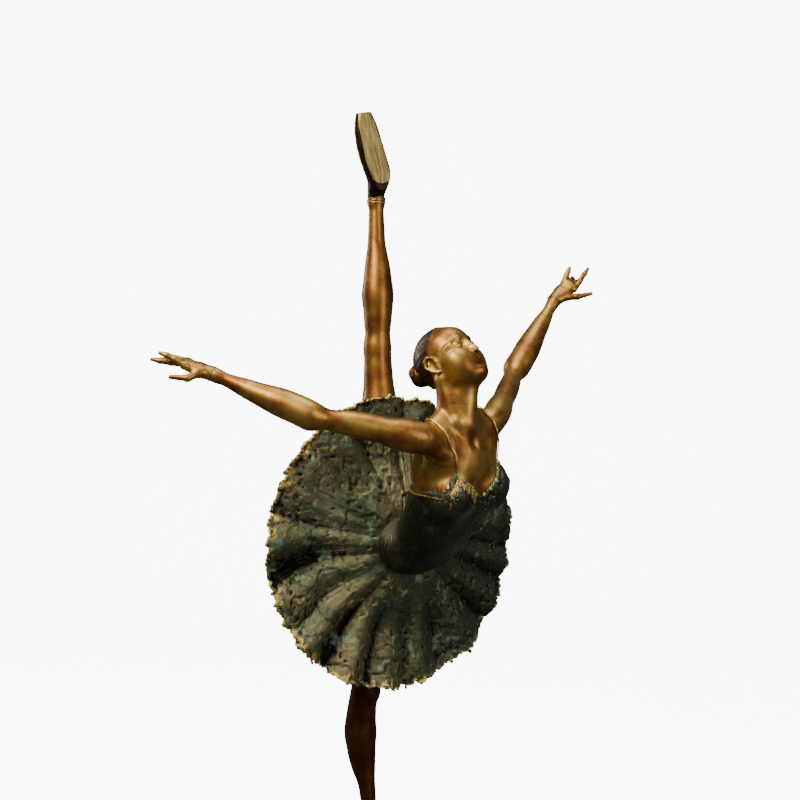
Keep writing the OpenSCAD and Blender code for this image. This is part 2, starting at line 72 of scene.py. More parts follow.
# where things are, read from the frame
def cadPoints(node):
    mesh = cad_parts[node].data
    points = np.zeros(len(mesh.vertices) * 3, np.float32)
    mesh.vertices.foreach_get("co", points)
    return points.reshape(-1, 3).astype(float) / mm


def middle(points):
    return (points.min(0) + points.max(0)) / 2


def around(points, margin):
    points = np.array(points)
    return points.min(0) - margin, points.max(0) + margin


def endOf(node, direction):
    points = cadPoints(node)
    reach = points @ unit(direction)
    return middle(points[reach > reach.max() - 1.2])


def solidOf(node, direction):
    points = cadPoints(node)
    reach = (points - middle(points)) @ unit(direction)
    return middle(points[reach > 0])


def sliceOf(node, start, end, share):
    points = cadPoints(node)
    along = end - start
    place = (points - start) @ along / (along @ along)
    return middle(points[abs(place - share) < 0.05])


left = vec(-1, 0, 0)
right = vec(1, 0, 0)
up = vec(0, 0, 1)
joint = {
    "toe": endOf("toe_plate", up),
    "lowAnkle": endOf("standing_leg", -up),
    "lowHip": endOf("standing_leg", up),
    "highAnkle": endOf("raised_leg", up),
    "highHip": endOf("raised_leg", -up),
    "highToe": endOf("raised_shoe", up),
    "tutu": middle(cadPoints("overskirt")),
    "waist": middle(cadPoints("waist_sash")),
    "neckTop": middle(cadPoints("neck_dowel")),
    "rightShoulder": solidOf("shoulder_dowels", left),
    "leftShoulder": solidOf("shoulder_dowels", right),
    "rightWrist": solidOf("wrist_dowels", left),
    "leftWrist": solidOf("wrist_dowels", right),
    "rightTip": endOf("right_hand", left),
    "leftTip": endOf("left_hand", vec(0.7, 0.3, 0.65)),
}
joint["lowKnee"] = sliceOf("standing_leg", joint["lowAnkle"], joint["lowHip"], 0.51)
joint["highKnee"] = sliceOf("raised_leg", joint["highAnkle"], joint["highHip"], 0.51)
joint["rightElbow"] = sliceOf("right_arm", joint["rightShoulder"], joint["rightWrist"], 0.47)
joint["leftElbow"] = sliceOf("left_arm", joint["leftShoulder"], joint["leftWrist"], 0.47)
for name, place in joint.items():
    print("joint", name, np.round(place, 1))


# clay: a block of distances that shapes are added to and cut from
def clayBlock(low, high, cell):
    low = np.asarray(low, float) - 3 * cell
    counts = np.ceil((np.asarray(high, float) - low) / cell + 4).astype(int)
    axes = [(low[i] + cell * np.arange(counts[i])).astype(np.float32) for i in range(3)]
    return {"low": low, "cell": cell, "axes": axes, "field": np.full(counts, 60, np.float32)}


def spans(clay, low, high):
    return tuple(
        slice(int(np.searchsorted(axis, a)), int(np.searchsorted(axis, b)))
        for axis, a, b in zip(clay["axes"], low, high)
    )


def grid(clay, where=(slice(None),) * 3):
    xs, ys, zs = (axis[span] for axis, span in zip(clay["axes"], where))
    return xs[:, None, None], ys[None, :, None], zs[None, None, :]


def onward(x, y, z, start, way):
    # how far each place lies from start, measured along way
    return (x - start[0]) * way[0] + (y - start[1]) * way[1] + (z - start[2]) * way[2]


def shave(clay, beyond):
    # takes away the clay where beyond is above 0
    clay["field"] = np.maximum(clay["field"], beyond.astype(np.float32))


def blended(a, b, soft):
    if soft <= 0:
        return np.minimum(a, b)
    overlap = np.maximum(soft - np.abs(a - b), 0) / soft
    return np.minimum(a, b) - overlap * overlap * soft / 4


def add(clay, shape, soft=1.0, sign=1):
    margin = soft + 2 * clay["cell"]
    where = spans(clay, shape["low"] - margin, shape["high"] + margin)
    if any(s.start >= s.stop for s in where):
        return
    distance = shape["at"](*grid(clay, where)).astype(np.float32)
    old = clay["field"][where]
    if sign > 0:
        clay["field"][where] = blended(old, distance, soft)
    else:
        clay["field"][where] = -blended(-old, distance, soft)


def cut(clay, shape, soft=1.0):
    add(clay, shape, soft, -1)


def trim(clay, point, normal, proud=0.0):
    # keeps the side that the normal points away from
    shave(clay, onward(*grid(clay), point, unit(normal)) - proud)


def bar(a, b, ra, rb, side=None, wide=1.0):
    # a tapered round bar, or a flattened one that is wide times as broad towards side
    a, b = np.asarray(a, float), np.asarray(b, float)
    along = b - a
    span = along @ along
    reach = max(ra, rb) * max(wide, 1)

    def at(x, y, z):
        px, py, pz = x - a[0], y - a[1], z - a[2]
        t = np.clip((px * along[0] + py * along[1] + pz * along[2]) / span, 0, 1)
        px, py, pz = px - t * along[0], py - t * along[1], pz - t * along[2]
        if side is not None:
            shift = (px * side[0] + py * side[1] + pz * side[2]) * (1 / wide - 1)
            px, py, pz = px + shift * side[0], py + shift * side[1], pz + shift * side[2]
        return np.sqrt(px * px + py * py + pz * pz) - (ra + (rb - ra) * t)

    return {"low": np.minimum(a, b) - reach, "high": np.maximum(a, b) + reach, "at": at}


def egg(centre, radii, axes=np.eye(3)):
    radii = np.asarray(radii, float)
    reach = np.sqrt(((axes * radii[:, None]) ** 2).sum(0))

    def at(x, y, z):
        px, py, pz = x - centre[0], y - centre[1], z - centre[2]
        near = 1e-6
        far = 1e-6
        for axis, radius in zip(axes, radii):
            share = (px * axis[0] + py * axis[1] + pz * axis[2]) / radius
            near = near + share * share
            far = far + share * share / (radius * radius)
        near = np.sqrt(near)
        return near * (near - 1) / np.sqrt(far)

    return {"low": centre - reach, "high": centre + reach, "at": at}


def clipped(shape, point, normal):
    normal = unit(normal)

    def at(x, y, z):
        return np.maximum(shape["at"](x, y, z), onward(x, y, z, point, normal))

    return {"low": shape["low"], "high": shape["high"], "at": at}


def path(clay, points, radii, soft=0.6):
    for a, b, ra, rb in zip(points, points[1:], radii, radii[1:]):
        add(clay, bar(a, b, ra, rb), soft)


# turning clay into a mesh
def neighbours(faces, count):
    edges = np.concatenate([faces[:, [i, (i + 1) % faces.shape[1]]] for i in range(faces.shape[1])])
    edges = np.unique(np.sort(edges, 1), axis=0)
    a, b = edges[edges[:, 0] != edges[:, 1]].T
    degree = np.maximum(np.bincount(a, minlength=count) + np.bincount(b, minlength=count), 1)
    return a, b, degree


def relaxed(points, links, share=0.5):
    a, b, degree = links
    total = np.stack([
        np.bincount(a, points[b, i], len(points)) + np.bincount(b, points[a, i], len(points))
        for i in range(3)
    ], 1)
    return points + (total / degree[:, None] - points) * share


def vertexNormals(points, faces):
    p = points[faces]
    facing = np.cross(p[:, 2] - p[:, 0], p[:, -1] - p[:, 1])
    normals = np.stack([
        sum(np.bincount(faces[:, k], facing[:, i], len(points)) for k in range(faces.shape[1]))
        for i in range(3)
    ], 1)
    return normals / np.maximum(np.linalg.norm(normals, axis=1), 1e-12)[:, None]


def pushed(points, faces, amount):
    return points + vertexNormals(points, faces) * np.asarray(amount)[:, None]


def fired(clay, rounds=3):
    cell = clay["cell"]
    volume = openvdb.FloatGrid(3 * cell)
    volume.copyFromArray(np.clip(clay["field"], -3 * cell, 3 * cell).astype(np.float32))
    points, triangles, quads = volume.convertToPolygons(0.0, 0.0)
    points = points.astype(float) * cell + clay["low"]
    faces = quads.astype(np.int64)
    if len(triangles):
        faces = np.concatenate([faces, np.column_stack([triangles, triangles[:, -1]])])
    used = np.unique(faces)
    links = neighbours(faces, len(points))
    for _ in range(rounds):
        points = relaxed(points, links)
        points = relaxed(points, links, -0.52)
    p = points[faces]
    volumeSign = np.einsum("ij,ij->i", p[:, 0], np.cross(p[:, 1], p[:, 2])).sum()
    if volumeSign < 0:
        faces = faces[:, ::-1]
    fresh = np.full(len(points), -1)
    fresh[used] = np.arange(len(used))
    return points[used], fresh[faces]


def wearOf(points, faces, rounds=14):
    # how far each point stands proud of its smoothed surface, in mm: edges above 0, hollows below
    links = neighbours(faces, len(points))
    smooth = points
    for _ in range(rounds):
        smooth = relaxed(smooth, links)
    return ((points - smooth) * vertexNormals(points, faces)).sum(1)


def meshPiece(name, points, faces, material, wear):
    mesh = bpy.data.meshes.new(name)
    rows = [row if row[-1] != row[-2] else row[:-1] for row in faces.tolist()]
    mesh.from_pydata((points * mm).tolist(), [], rows)
    mesh.shade_smooth()
    mesh.attributes.new("wear", "FLOAT", "POINT").data.foreach_set("value", wear.astype(np.float32))
    mesh.materials.append(material)
    piece = bpy.data.objects.new(name, mesh)
    bpy.context.scene.collection.objects.link(piece)
    return piece


def place(piece, slot, *nodes):
    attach(piece, "root")
    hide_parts(*nodes)
    print("made", piece.name, len(piece.data.polygons), "faces")


# soft noise over points, for wax marks and folds
def lattice(cells, seed):
    h = cells[:, 0] * 374761393 + cells[:, 1] * 668265263 + cells[:, 2] * 2147483647 + seed * 1442695041
    h = (h ^ (h >> 13)) * 1274126177
    h = h ^ (h >> 16)
    return (h & 0xFFFFF) / 0xFFFFF * 2 - 1


def wobble(points, size, seed=0):
    # smooth noise from -1 to 1 with lumps about size mm across
    p = points / size
    base = np.floor(p).astype(np.int64)
    t = p - base
    t = t * t * (3 - 2 * t)
    total = np.zeros(len(p))
    for corner in range(8):
        step = np.array([corner & 1, corner >> 1 & 1, corner >> 2 & 1])
        weight = np.prod(np.where(step, t, 1 - t), 1)
        total += weight * lattice(base + step, seed)
    return total


def ridges(points, size, seed=0):
    # like wobble, but with sharp raised seams between smooth hollows
    return 1 - 2 * np.abs(wobble(points, size, seed))


# materials
def hexColour(code):
    values = [int(code[i:i + 2], 16) / 255 for i in (1, 3, 5)]
    linear = [v / 12.92 if v <= 0.04045 else ((v + 0.055) / 1.055) ** 2.4 for v in values]
    return (*linear, 1)


def addNode(tree, kind, inputs=None, **settings):
    # an input is given a socket to link, a hex colour or a plain value
    node = tree.nodes.new(kind)
    for key, value in settings.items():
        setattr(node, key, value)
    for key, value in (inputs or {}).items():
        if isinstance(value, bpy.types.NodeSocket):
            tree.links.new(value, node.inputs[key])
        elif isinstance(value, str) and value.startswith("#"):
            node.inputs[key].default_value = hexColour(value)
        else:
            node.inputs[key].default_value = value
    return node


def newMaterial(name):
    material = bpy.data.materials.new(name)
    material.use_nodes = True
    material.node_tree.nodes.clear()
    return material, material.node_tree


def castBronze(name, look):
    # lost-wax bronze, chased, coloured hot with chemicals and waxed: the patina is dark in hollows,
    # mottled over the flats and rubbed through to bright metal on edges
    material, tree = newMaterial(name)
    spot = addNode(tree, "ShaderNodeTexCoord").outputs["Object"]
    wear = addNode(tree, "ShaderNodeAttribute", attribute_name="wear").outputs["Fac"]
    # three clouds in the patina, each with its size in mm, its detail and its roughness
    broad, fine, patchy = (
        addNode(tree, "ShaderNodeTexNoise", {
            "Vector": spot, "Scale": 1 / (size * mm), "Detail": detail, "Roughness": rough}).outputs["Fac"]
        for size, detail, rough in (
            (look["mottle"], 4.0, 0.6), (look["grain"], 6.0, 0.7), (look["mottle"] * 0.45, 8.0, 0.62))
    )
    hollow, rubbed = (
        addNode(tree, "ShaderNodeMath", {0: fine, 1: share, 2: wear}, operation="MULTIPLY_ADD").outputs[0]
        for share in (-0.06, look["edge"] * 0.8)
    )
    # each coat of the patina: what drives it, where it starts and is full,
    # how strong it is at both, its colour
    coats = {
        "mottle": (broad, 0.36, 0.66, 0.0, 1.0, look["colour"]),
        "hollow": (hollow, look["hollow"], 0.0, 1.0, 0.0, look["deep"]),
        "rubbed": (rubbed, look["edge"], look["edge"] * 2.1, 0.0, look["rub"], look["bright"]),
    }
    if look.get("greenAndSideShade"):
        # the green-black deepens towards the figure's left: a greener patina there, with painted shade laid
        # in on the side turned away from the key light
        darker, start, end = look["greenAndSideShade"]
        sideways = addNode(tree, "ShaderNodeSeparateXYZ", {0: spot}).outputs["X"]
        greenAndSideShade = (sideways, start * mm, end * mm, 0.0, 1.0, darker)
        coats = {"mottle": coats["mottle"], "greenAndSideShade": greenAndSideShade, **coats}
    if look.get("verdigris"):
        coats["verdigris"] = (patchy, 0.57, 0.67, 0.0, look["verdigris"], look["green"])
    colour = look["shade"]
    share = {}
    for coat, (drive, low, high, atLow, atHigh, paint) in coats.items():
        share[coat] = addNode(tree, "ShaderNodeMapRange", {
            "Value": drive, "From Min": low, "From Max": high, "To Min": atLow, "To Max": atHigh,
        }, interpolation_type="SMOOTHSTEP").outputs["Result"]
        if coat == "verdigris":
            # verdigris doesn't grow where the metal is rubbed
            dull = addNode(tree, "ShaderNodeMath", {0: 1.0, 1: share["rubbed"]}, operation="SUBTRACT")
            share[coat] = addNode(tree, "ShaderNodeMath", {
                0: share[coat], 1: dull.outputs[0]}, operation="MULTIPLY").outputs[0]
        colour = addNode(tree, "ShaderNodeMix", {0: share[coat], 6: colour, 7: paint},
                         data_type="RGBA").outputs[2]
    rough = addNode(tree, "ShaderNodeMapRange", {
        "Value": fine, "From Min": 0.3, "From Max": 0.7, "To Min": look["gloss"][0],
        "To Max": look["gloss"][1]}, interpolation_type="SMOOTHSTEP").outputs["Result"]
    metallic = look["metal"]
    if look.get("verdigris"):
        rough, metallic = (
            addNode(tree, "ShaderNodeMath", {0: share["verdigris"], 1: change, 2: start},
                    operation="MULTIPLY_ADD").outputs[0]
            for change, start in ((0.3, rough), (-0.7, metallic))
        )
    bump = addNode(tree, "ShaderNodeBump", {
        "Height": fine, "Strength": look["bump"], "Distance": look["grain"] * mm * 0.4})
    shader = addNode(tree, "ShaderNodeBsdfPrincipled", {
        "Base Color": colour, "Roughness": rough, "Normal": bump.outputs["Normal"], "Metallic": metallic,
        "Coat Weight": look["wax"], "Coat Roughness": 0.25})
    addNode(tree, "ShaderNodeOutputMaterial", {"Surface": shader.outputs[0]})
    return material


skinLook = {
    "colour": "#B08A42", "shade": "#7F4E24", "deep": "#241006", "bright": "#CFA557",
    "mottle": 24, "grain": 0.9, "hollow": -0.6, "edge": 0.3, "rub": 0.6,
    "gloss": (0.39, 0.5), "metal": 0.95, "wax": 0.06, "bump": 0.1,
}
# a darker copy of the skin bronze: on the standing leg and the hips, which lie under the tutu, it is painted
# shade; the toe plate takes it as its own colour
darkLook = dict(skinLook, colour="#5E381A", shade="#452612", bright="#8A5A2A")
shoeLook = dict(skinLook, colour="#3E2A18", shade="#2A1C10", bright="#A8894C", gloss=(0.32, 0.45),
                edge=0.2, bump=0.25)
soleLook = dict(skinLook, colour="#A8935A", shade="#8F7A48", deep="#3A2E18", bright="#D0BC7A",
                gloss=(0.38, 0.52), bump=0.3)
skirtLook = {
    "colour": "#837A56", "shade": "#525C42", "deep": "#14150D", "bright": "#E4C45E",
    "mottle": 42, "grain": 2.4, "hollow": -0.72, "edge": 0.5, "rub": 0.95,
    "gloss": (0.36, 0.58), "metal": 0.85, "wax": 0.1, "bump": 1.0,
    # darker and greener towards the figure's left: partly patina, partly painted shade on the side away from
    # the key light
    "verdigris": 0.6, "green": "#86A488", "greenAndSideShade": ("#343C2E", -20, 110),
}
bodiceLook = dict(skirtLook, colour="#4A4936", shade="#2A2F22", bright="#A39768", mottle=24, edge=0.3,
                  gloss=(0.34, 0.5), verdigris=0.15, grain=1.2, greenAndSideShade=None)
goldLook = dict(skinLook, colour="#C4A050", shade="#9A7A3C", bright="#E2C676", edge=0.08, gloss=(0.32, 0.45))
hairLook = dict(skinLook, colour="#4E3620", shade="#2C1D12", bright="#A98450", edge=0.12, gloss=(0.34, 0.48),
                rub=0.7)

skinBronze = castBronze("waxedBrownBronze", skinLook)
darkBronze = castBronze("darkBrownBronze", darkLook)
# the raised leg takes a copy of the skin bronze darkened part way: painted shade under the tutu
legBronze = castBronze("brownLegBronze", dict(skinLook, colour="#96692F", shade="#6E4320", bright="#BA9150"))
shoeBronze = castBronze("darkSatinBronze", shoeLook)
soleBronze = castBronze("oliveBrassSole", soleLook)
skirtBronze = castBronze("oliveVerdigrisBronze", skirtLook)
bodiceBronze = castBronze("greenBlackBronze", bodiceLook)
goldBronze = castBronze("rubbedGoldBronze", goldLook)
laceBronze = castBronze("oliveGoldLace", dict(goldLook, colour="#8C7440", shade="#5A4A28", bright="#CDAE66"))
hairBronze = castBronze("nearBlackBronze", hairLook)
print("bronze patinas ready")


# the figure's own directions
tutuTurn = 34          # degrees from the front
faceTurn = 50
faceTilt = 38
out = heading(tutuTurn, 0)
across = heading(tutuTurn + 90, 0)

rightArmRun = unit(joint["rightElbow"] - joint["rightShoulder"])
leftArmRun = unit(joint["leftElbow"] - joint["leftShoulder"])
shoulderDepth = 11     # from the arm casting's cut back to the shoulder's centre
rightSocket = joint["rightShoulder"] - rightArmRun * shoulderDepth
leftSocket = joint["leftShoulder"] - leftArmRun * shoulderDepth
collar = mix(rightSocket, leftSocket, 0.5)
neckRun = unit(joint["neckTop"] - collar)
chestSide = unit(leftSocket - rightSocket)
chestUp = unit(vec(0.1, -0.27, 0.95))
chestFront = unit(np.cross(chestSide, chestUp))
chestUp = np.cross(chestFront, chestSide)


def chest(side, height, depth):
    return collar + chestSide * side + chestUp * height + chestFront * depth


torsoShape = {
    "bellyRun": 46,     # how far the body comes straight out of the tutu before it bends up
    "ribRun": 42,
    # share of the way from the waist to the collar, half width, half depth
    "sections": [(0, 26.5, 20.5), (0.2, 27, 21), (0.4, 29.5, 22.5), (0.56, 32.5, 23.5),
                 (0.7, 33.5, 21.5), (0.82, 31.5, 17), (0.91, 24, 13), (1, 14, 11)],
}


def spine(t):
    ends = joint["waist"] - out * 6, collar
    a, b = ends[0] + out * torsoShape["bellyRun"], ends[1] - chestUp * torsoShape["ribRun"]
    return (1 - t) ** 3 * ends[0] + 3 * (1 - t) ** 2 * t * a + 3 * (1 - t) * t * t * b + t ** 3 * ends[1]


def spineFrame(t):
    along = unit(spine(min(t + 0.01, 1)) - spine(max(t - 0.01, 0)))
    side = unit(mix(across, chestSide, t))
    front = unit(np.cross(side, along))
    side = np.cross(along, front)
    return side, along, front


def addTorso(clay):
    shares = [s[0] for s in torsoShape["sections"]]
    for t in np.linspace(0, 1, 26):
        wide = np.interp(t, shares, [s[1] for s in torsoShape["sections"]])
        deep = np.interp(t, shares, [s[2] for s in torsoShape["sections"]])
        side, along, front = spineFrame(t)
        add(clay, egg(spine(t), (wide, 13, deep), np.array([side, along, front])), 3)
    frameAxes = np.array([chestSide, chestUp, chestFront])
    for s in (-1, 1):
        add(clay, egg(chest(2 + 18.5 * s, -46, 17), (14.8 + 0.7 * s, 16, 11.5), frameAxes), 12)
        add(clay, bar(chest(10 * s, -22, 11), chest(29 * s, -6, 3), 8, 8), 12)
        add(clay, bar(chest(7 * s, 13, -7), chest(29 * s, 2 + s, -5), 6, 6), 10)
        add(clay, egg(chest(20 * s, -24, -14), (12, 16, 5), frameAxes), 7)
        add(clay, bar(chest(4.5 * s, -10, 12.4), chest(31 * s, 3, 4.5), 1.7, 2.2), 6)
        add(clay, egg(chest(15 * s, -1, 0), (10, 8, 8), frameAxes), 8)
    add(clay, bar(chest(0, -8, 0), joint["neckTop"], 13.4, 11.8), 9)
    cut(clay, egg(chest(1, -7, 17), (2.6, 4, 2.4), frameAxes), 6)
    add(clay, egg(chest(1.5, -26, 12.5), (11, 15, 7.5), frameAxes), 10)
    # the ribs under the raised arm
    add(clay, egg(chest(25, -24, 3), (10, 20, 12), frameAxes), 9)
    cut(clay, bar(chest(0, 0, -17), chest(0, -60, -29), 2.5, 3), 7)


# head: a calm, even face on the usual artist's proportions
faceOut = heading(faceTurn, faceTilt)
headUp = heading(faceTurn, faceTilt + 90)
headSide = unit(np.cross(headUp, faceOut))
headAxes = np.array([headSide, faceOut, headUp])
headShape = {
    "height": 57,                  # chin to crown
    "fromNeck": (2, 25.5, -5.5),   # the foot of the chin from the top of the neck: side, face, up
    "eyeGap": 8.1,
    "eyeLine": 28.6,
}
skullBase = joint["neckTop"] + np.array(headShape["fromNeck"]) @ headAxes - faceOut * 17.5


def face(side, forward, height):
    return skullBase + headSide * side + faceOut * forward + headUp * height


def faceEgg(side, forward, height, radii):
    return egg(face(side, forward, height), radii, headAxes)


def facePath(clay, points, radii, soft=0.8, mirror=True):
    for s in ((-1, 1) if mirror else (1,)):
        path(clay, [face(x * s, y, z) for x, y, z in points], radii, soft)


def addSkull(clay):
    add(clay, faceEgg(0, -2.5, 34.6, (19, 23.4, 22.4)), 0)
    add(clay, faceEgg(0, 7.5, 38, (16.2, 15.6, 13.5)), 6)
    add(clay, faceEgg(0, 6.5, 22, (15.2, 15.5, 18)), 7)
    for s in (-1, 1):
        add(clay, bar(face(11.6 * s, 0, 14.5), face(4.5 * s, 16, 5.4), 4.6, 4.4), 6)
        add(clay, faceEgg(10.2 * s, 12.8, 22.6, (5.6, 5, 5)), 12)
        add(clay, faceEgg(7.2 * s, 13.8, 15.5, (6.8, 6.2, 8)), 12)
    add(clay, faceEgg(0, 20, 5, (5.4, 4.6, 4.6)), 5)
    add(clay, bar(face(0, -7, 14), joint["neckTop"] - neckRun * 4, 12.4, 12.2), 7)
    add(clay, bar(face(0, 9, 6), chest(0, 8, 7), 5.5, 6), 9)


def addFace(clay):
    add(clay, faceEgg(0, 14.6, 14.4, (8, 7.8, 7.6)), 6)
    for s in (-1, 1):
        cut(clay, faceEgg(headShape["eyeGap"] * s, 25.2, 29.4, (5.4, 5.2, 3.6)), 5)
    # brow, nose
    facePath(clay, [(2.2, 21.2, 32.6), (6.5, 21.2, 34.2), (11.8, 17.4, 33.2)], (1.2, 1.3, 1.1), 3.4)
    facePath(clay, [(0, 20.6, 33), (0, 22.6, 28.6), (0, 24.9, 23.8), (0, 26.2, 20.9)],
             (2.1, 1.7, 1.8, 2.1), 2.8, False)
    add(clay, faceEgg(0, 26, 20.3, (2.3, 2.2, 2)), 1.6)
    for s in (-1, 1):
        add(clay, faceEgg(2.8 * s, 23.7, 19.8, (1.5, 2.3, 1.5)), 1.8)
        cut(clay, bar(face(1.6 * s, 25.2, 18.4), face(1.5 * s, 23.6, 20), 0.6, 0.4), 0.7)
    # eyes: the ball, an upper and a lower lid, and the crease above
    eye = headShape["eyeGap"]
    line = headShape["eyeLine"]
    for s in (-1, 1):
        ball = face(eye * s, 17.9, line)
        add(clay, egg(ball, (4.2, 4.2, 4.2)), 0.5)
        upper = clipped(egg(ball, (4.8, 4.75, 4.5)), ball + headUp * 1.2 + faceOut * 4,
                        -headUp - faceOut * 0.1)
        lower = clipped(egg(ball, (4.7, 4.5, 4.3)), ball - headUp * 1.5 + faceOut * 4, headUp)
        add(clay, upper, 0.6)
        add(clay, lower, 0.8)
    facePath(clay, [(4.1, 19.9, line - 0.4), (5.6, 21.5, line + 1.5), (8, 22.4, line + 2),
                    (10.4, 21.4, line + 1.2), (12.3, 19.2, line - 0.5)], (0.35, 0.5, 0.5, 0.5, 0.35), 0.6)
    # mouth: two soft lips, closed
    facePath(clay, [(5.4, 20.3, 13.9), (3.2, 22.3, 14.6), (1.1, 23.1, 15.2), (0, 22.9, 14.9)],
             (0.4, 0.9, 1.05, 0.95), 1.3)
    facePath(clay, [(5.1, 20.2, 13.3), (2.8, 22.3, 12.6), (0, 22.9, 12.4)], (0.4, 1.1, 1.3), 1.3)
    for s in (-1, 1):
        rows = [(5.7, 20.9, 13.6), (3, 23.3, 13.7), (0, 24.1, 13.8)]
        for a, b in zip(rows, rows[1:]):
            cut(clay, bar(face(a[0] * s, a[1], a[2]), face(b[0] * s, b[1], b[2]), 0.22, 0.32), 0.6)
    cut(clay, faceEgg(0, 24.5, 17.2, (0.9, 1.2, 1.5)), 1.2)
    cut(clay, faceEgg(0, 25, 9.3, (4, 1.8, 1.4)), 3)


def addEars(clay):
    rim = [(18, 1.8, 21.5), (19.2, 3, 26), (20.4, 2.2, 30.5), (21, -1.4, 33.2), (21.4, -5, 31.6),
           (21.2, -6.4, 27.6), (20, -4.2, 22.8), (18.6, -1, 19.4), (17.6, 1, 19)]
    for s in (-1, 1):
        add(clay, faceEgg(18.2 * s, -1, 26, (2, 4.6, 7)), 1.5)
        cut(clay, faceEgg(20.6 * s, -0.6, 25.6, (1.7, 3, 4.6)), 1)
    facePath(clay, rim, (0.9, 1, 1.1, 1.2, 1.2, 1.1, 1.1, 1.4, 1.1), 0.5)
    facePath(clay, [(19.6, -3.4, 30), (20, -4, 26.5), (19.3, -2.6, 22.8)], (0.7, 0.9, 0.9), 0.5)
    facePath(clay, [(18.4, 2.6, 25), (19, 1.8, 23.6)], (1, 1), 0.5)


def addNeck(clay):
    for s in (-1, 1):
        path(clay, [face(13.5 * s, -5, 15), chest(8 * s, 9, 6), chest(3.4 * s, -8, 12)], (4, 3, 2), 5)


# arms and hands
armCuts = {
    # the socket, the way the upper arm runs, the way the forearm's muscle swells, how slim the arm is
    "right": (rightSocket, rightArmRun, vec(0.1, -0.5, 0.85), 1.0),
    "left": (leftSocket, leftArmRun, vec(0.5, -0.6, -0.2), 0.84),
}
armShape = {
    "upper": (9.4, 7.4),       # radii at the shoulder and the elbow
    "fore": (7.4, 4.4),
    "muscle": (8.7, 8.2, 17),  # the forearm's flesh below the elbow
    "muscleAt": 0.2,
}


def sideAxes(along, hint):
    along = unit(along)
    side = unit(hint - along * (hint @ along))
    return np.array([side, np.cross(along, side), along])


def addArm(clay, socket, elbow, wrist, flesh, slim=1.0):
    # flesh is the direction in which the forearm's muscle swells
    add(clay, bar(socket, elbow, armShape["upper"][0] * slim, armShape["upper"][1]), 9)
    run = elbow - socket
    axes = sideAxes(run, flesh)
    add(clay, egg(mix(socket, elbow, 0.14), (11 * slim, 10.4 * slim, 17), axes), 9)
    add(clay, egg(mix(socket, elbow, 0.52) + axes[0] * 1.2, (8.4 * slim, 8 * slim, 22), axes), 6)
    add(clay, bar(elbow, wrist, *armShape["fore"], axes[0], 1.05), 8)
    axes = sideAxes(wrist - elbow, flesh)
    muscle = np.array(armShape["muscle"]) * (0.5 + 0.5 * slim)
    add(clay, egg(mix(elbow, wrist, armShape["muscleAt"]) + axes[0] * 1.2, muscle, axes), 12)
    add(clay, egg(mix(elbow, wrist, 0.45), (6.5, 6.2, 22), axes), 8)
    add(clay, egg(elbow - axes[0] * 3.2, (4.6 * slim, 4.6 * slim, 6), axes), 7)
    add(clay, egg(wrist - axes[2] * 2, (4.7, 4.4, 7), axes), 4)


handShape = {
    "right": {
        "palm": (-0.95, -0.02, 0.38), "thumbSide": (-0.1, -0.95, -0.34), "inside": (-0.2, 0.3, -0.9),
        # per finger: place across the palm, then its way: along the palm, to the thumb side, to the
        # back of the hand; its length and how far the end curls
        "fingers": [(0.36, (1, 0.05, 0.28), 20, 0.16), (0.12, (1, 0, -0.3), 24.5, -0.05),
                    (-0.11, (1, -0.05, -0.36), 24, -0.04), (-0.34, (1, -0.15, -0.2), 19.5, 0)],
        "thumb": ((0.62, 0.62, -0.5), (1, 0.12, -0.3)),
    },
    "left": {
        "palm": (0.62, 0.34, 0.62), "thumbSide": (0.7, -0.3, -0.55), "inside": (-0.3, -0.9, 0.2),
        "fingers": [(0.36, (1, -0.16, 0.0), 23.5, 0.06), (0.12, (0.95, -0.1, 0.5), 16.5, -0.25),
                    (-0.11, (0.95, -0.2, 0.45), 15.5, -0.25), (-0.34, (1, -0.35, -0.05), 14.5, 0.05)],
        "thumb": ((0.62, 0.7, -0.1), (0.85, 0.62, -0.05)),
    },
}


def addHand(clay, wrist, pose):
    run = unit(vec(*pose["palm"]))
    across = vec(*pose["thumbSide"])
    across = unit(across - run * (across @ run))
    back = np.cross(run, across)
    if back @ vec(*pose["inside"]) > 0:
        back = -back
    axes = np.array([across, back, run])
    add(clay, bar(wrist - run * 2, wrist + run * 9, 4.2, 4.4, across, 1.2), 3)
    add(clay, egg(wrist + run * 12.5, (7.2, 3.9, 12), axes), 4)
    add(clay, bar(wrist + run * 20 + across * 4.6, wrist + run * 20 - across * 4.8, 2.7, 2.3), 4)
    add(clay, egg(wrist + run * 9.5 + across * 4 - back * 1.6, (3.2, 3, 7.5), axes), 3)
    for place, way, length, curl in pose["fingers"]:
        way = unit(np.array(way) @ np.array([run, across, back]))
        points = [wrist + run * (20.5 - 6 * place * place) + across * place * 16]
        for step, share in enumerate((0.42, 0.33, 0.25)):
            points.append(points[-1] + unit(way - back * curl * step) * length * share)
        path(clay, points, (2.5, 2.25, 2.05, 1.5), 1.4)
    first, second = (unit(np.array(way) @ np.array([run, across, back])) for way in pose["thumb"])
    thumb = [wrist + run * 7 + across * 4]
    thumb += [thumb[0] + first * 11.5]
    thumb += [thumb[1] + second * 12]
    path(clay, thumb, (3.3, 2.5, 1.7), 2)


# legs and shoes
soleWay = unit(vec(0.5, -0.87, 0))      # the way the raised sole faces
toeFront = unit(vec(0.72, -0.7, 0))      # the way the standing shin faces
ankleDepth = 16        # how far the ankle runs on inside the shoe
legShape = {
    "thigh": (18.2, 11),        # radii at the hip and the knee
    "shin": (9.4, 6),
    "calf": (10.6, 10.4, 34),   # the calf's flesh
}


def shoeFrame(ankle, toe, sole):
    run = unit(toe - ankle)
    sole = unit(sole - run * (sole @ run))
    return np.array([sole, np.cross(run, sole), run]), np.linalg.norm(toe - ankle)


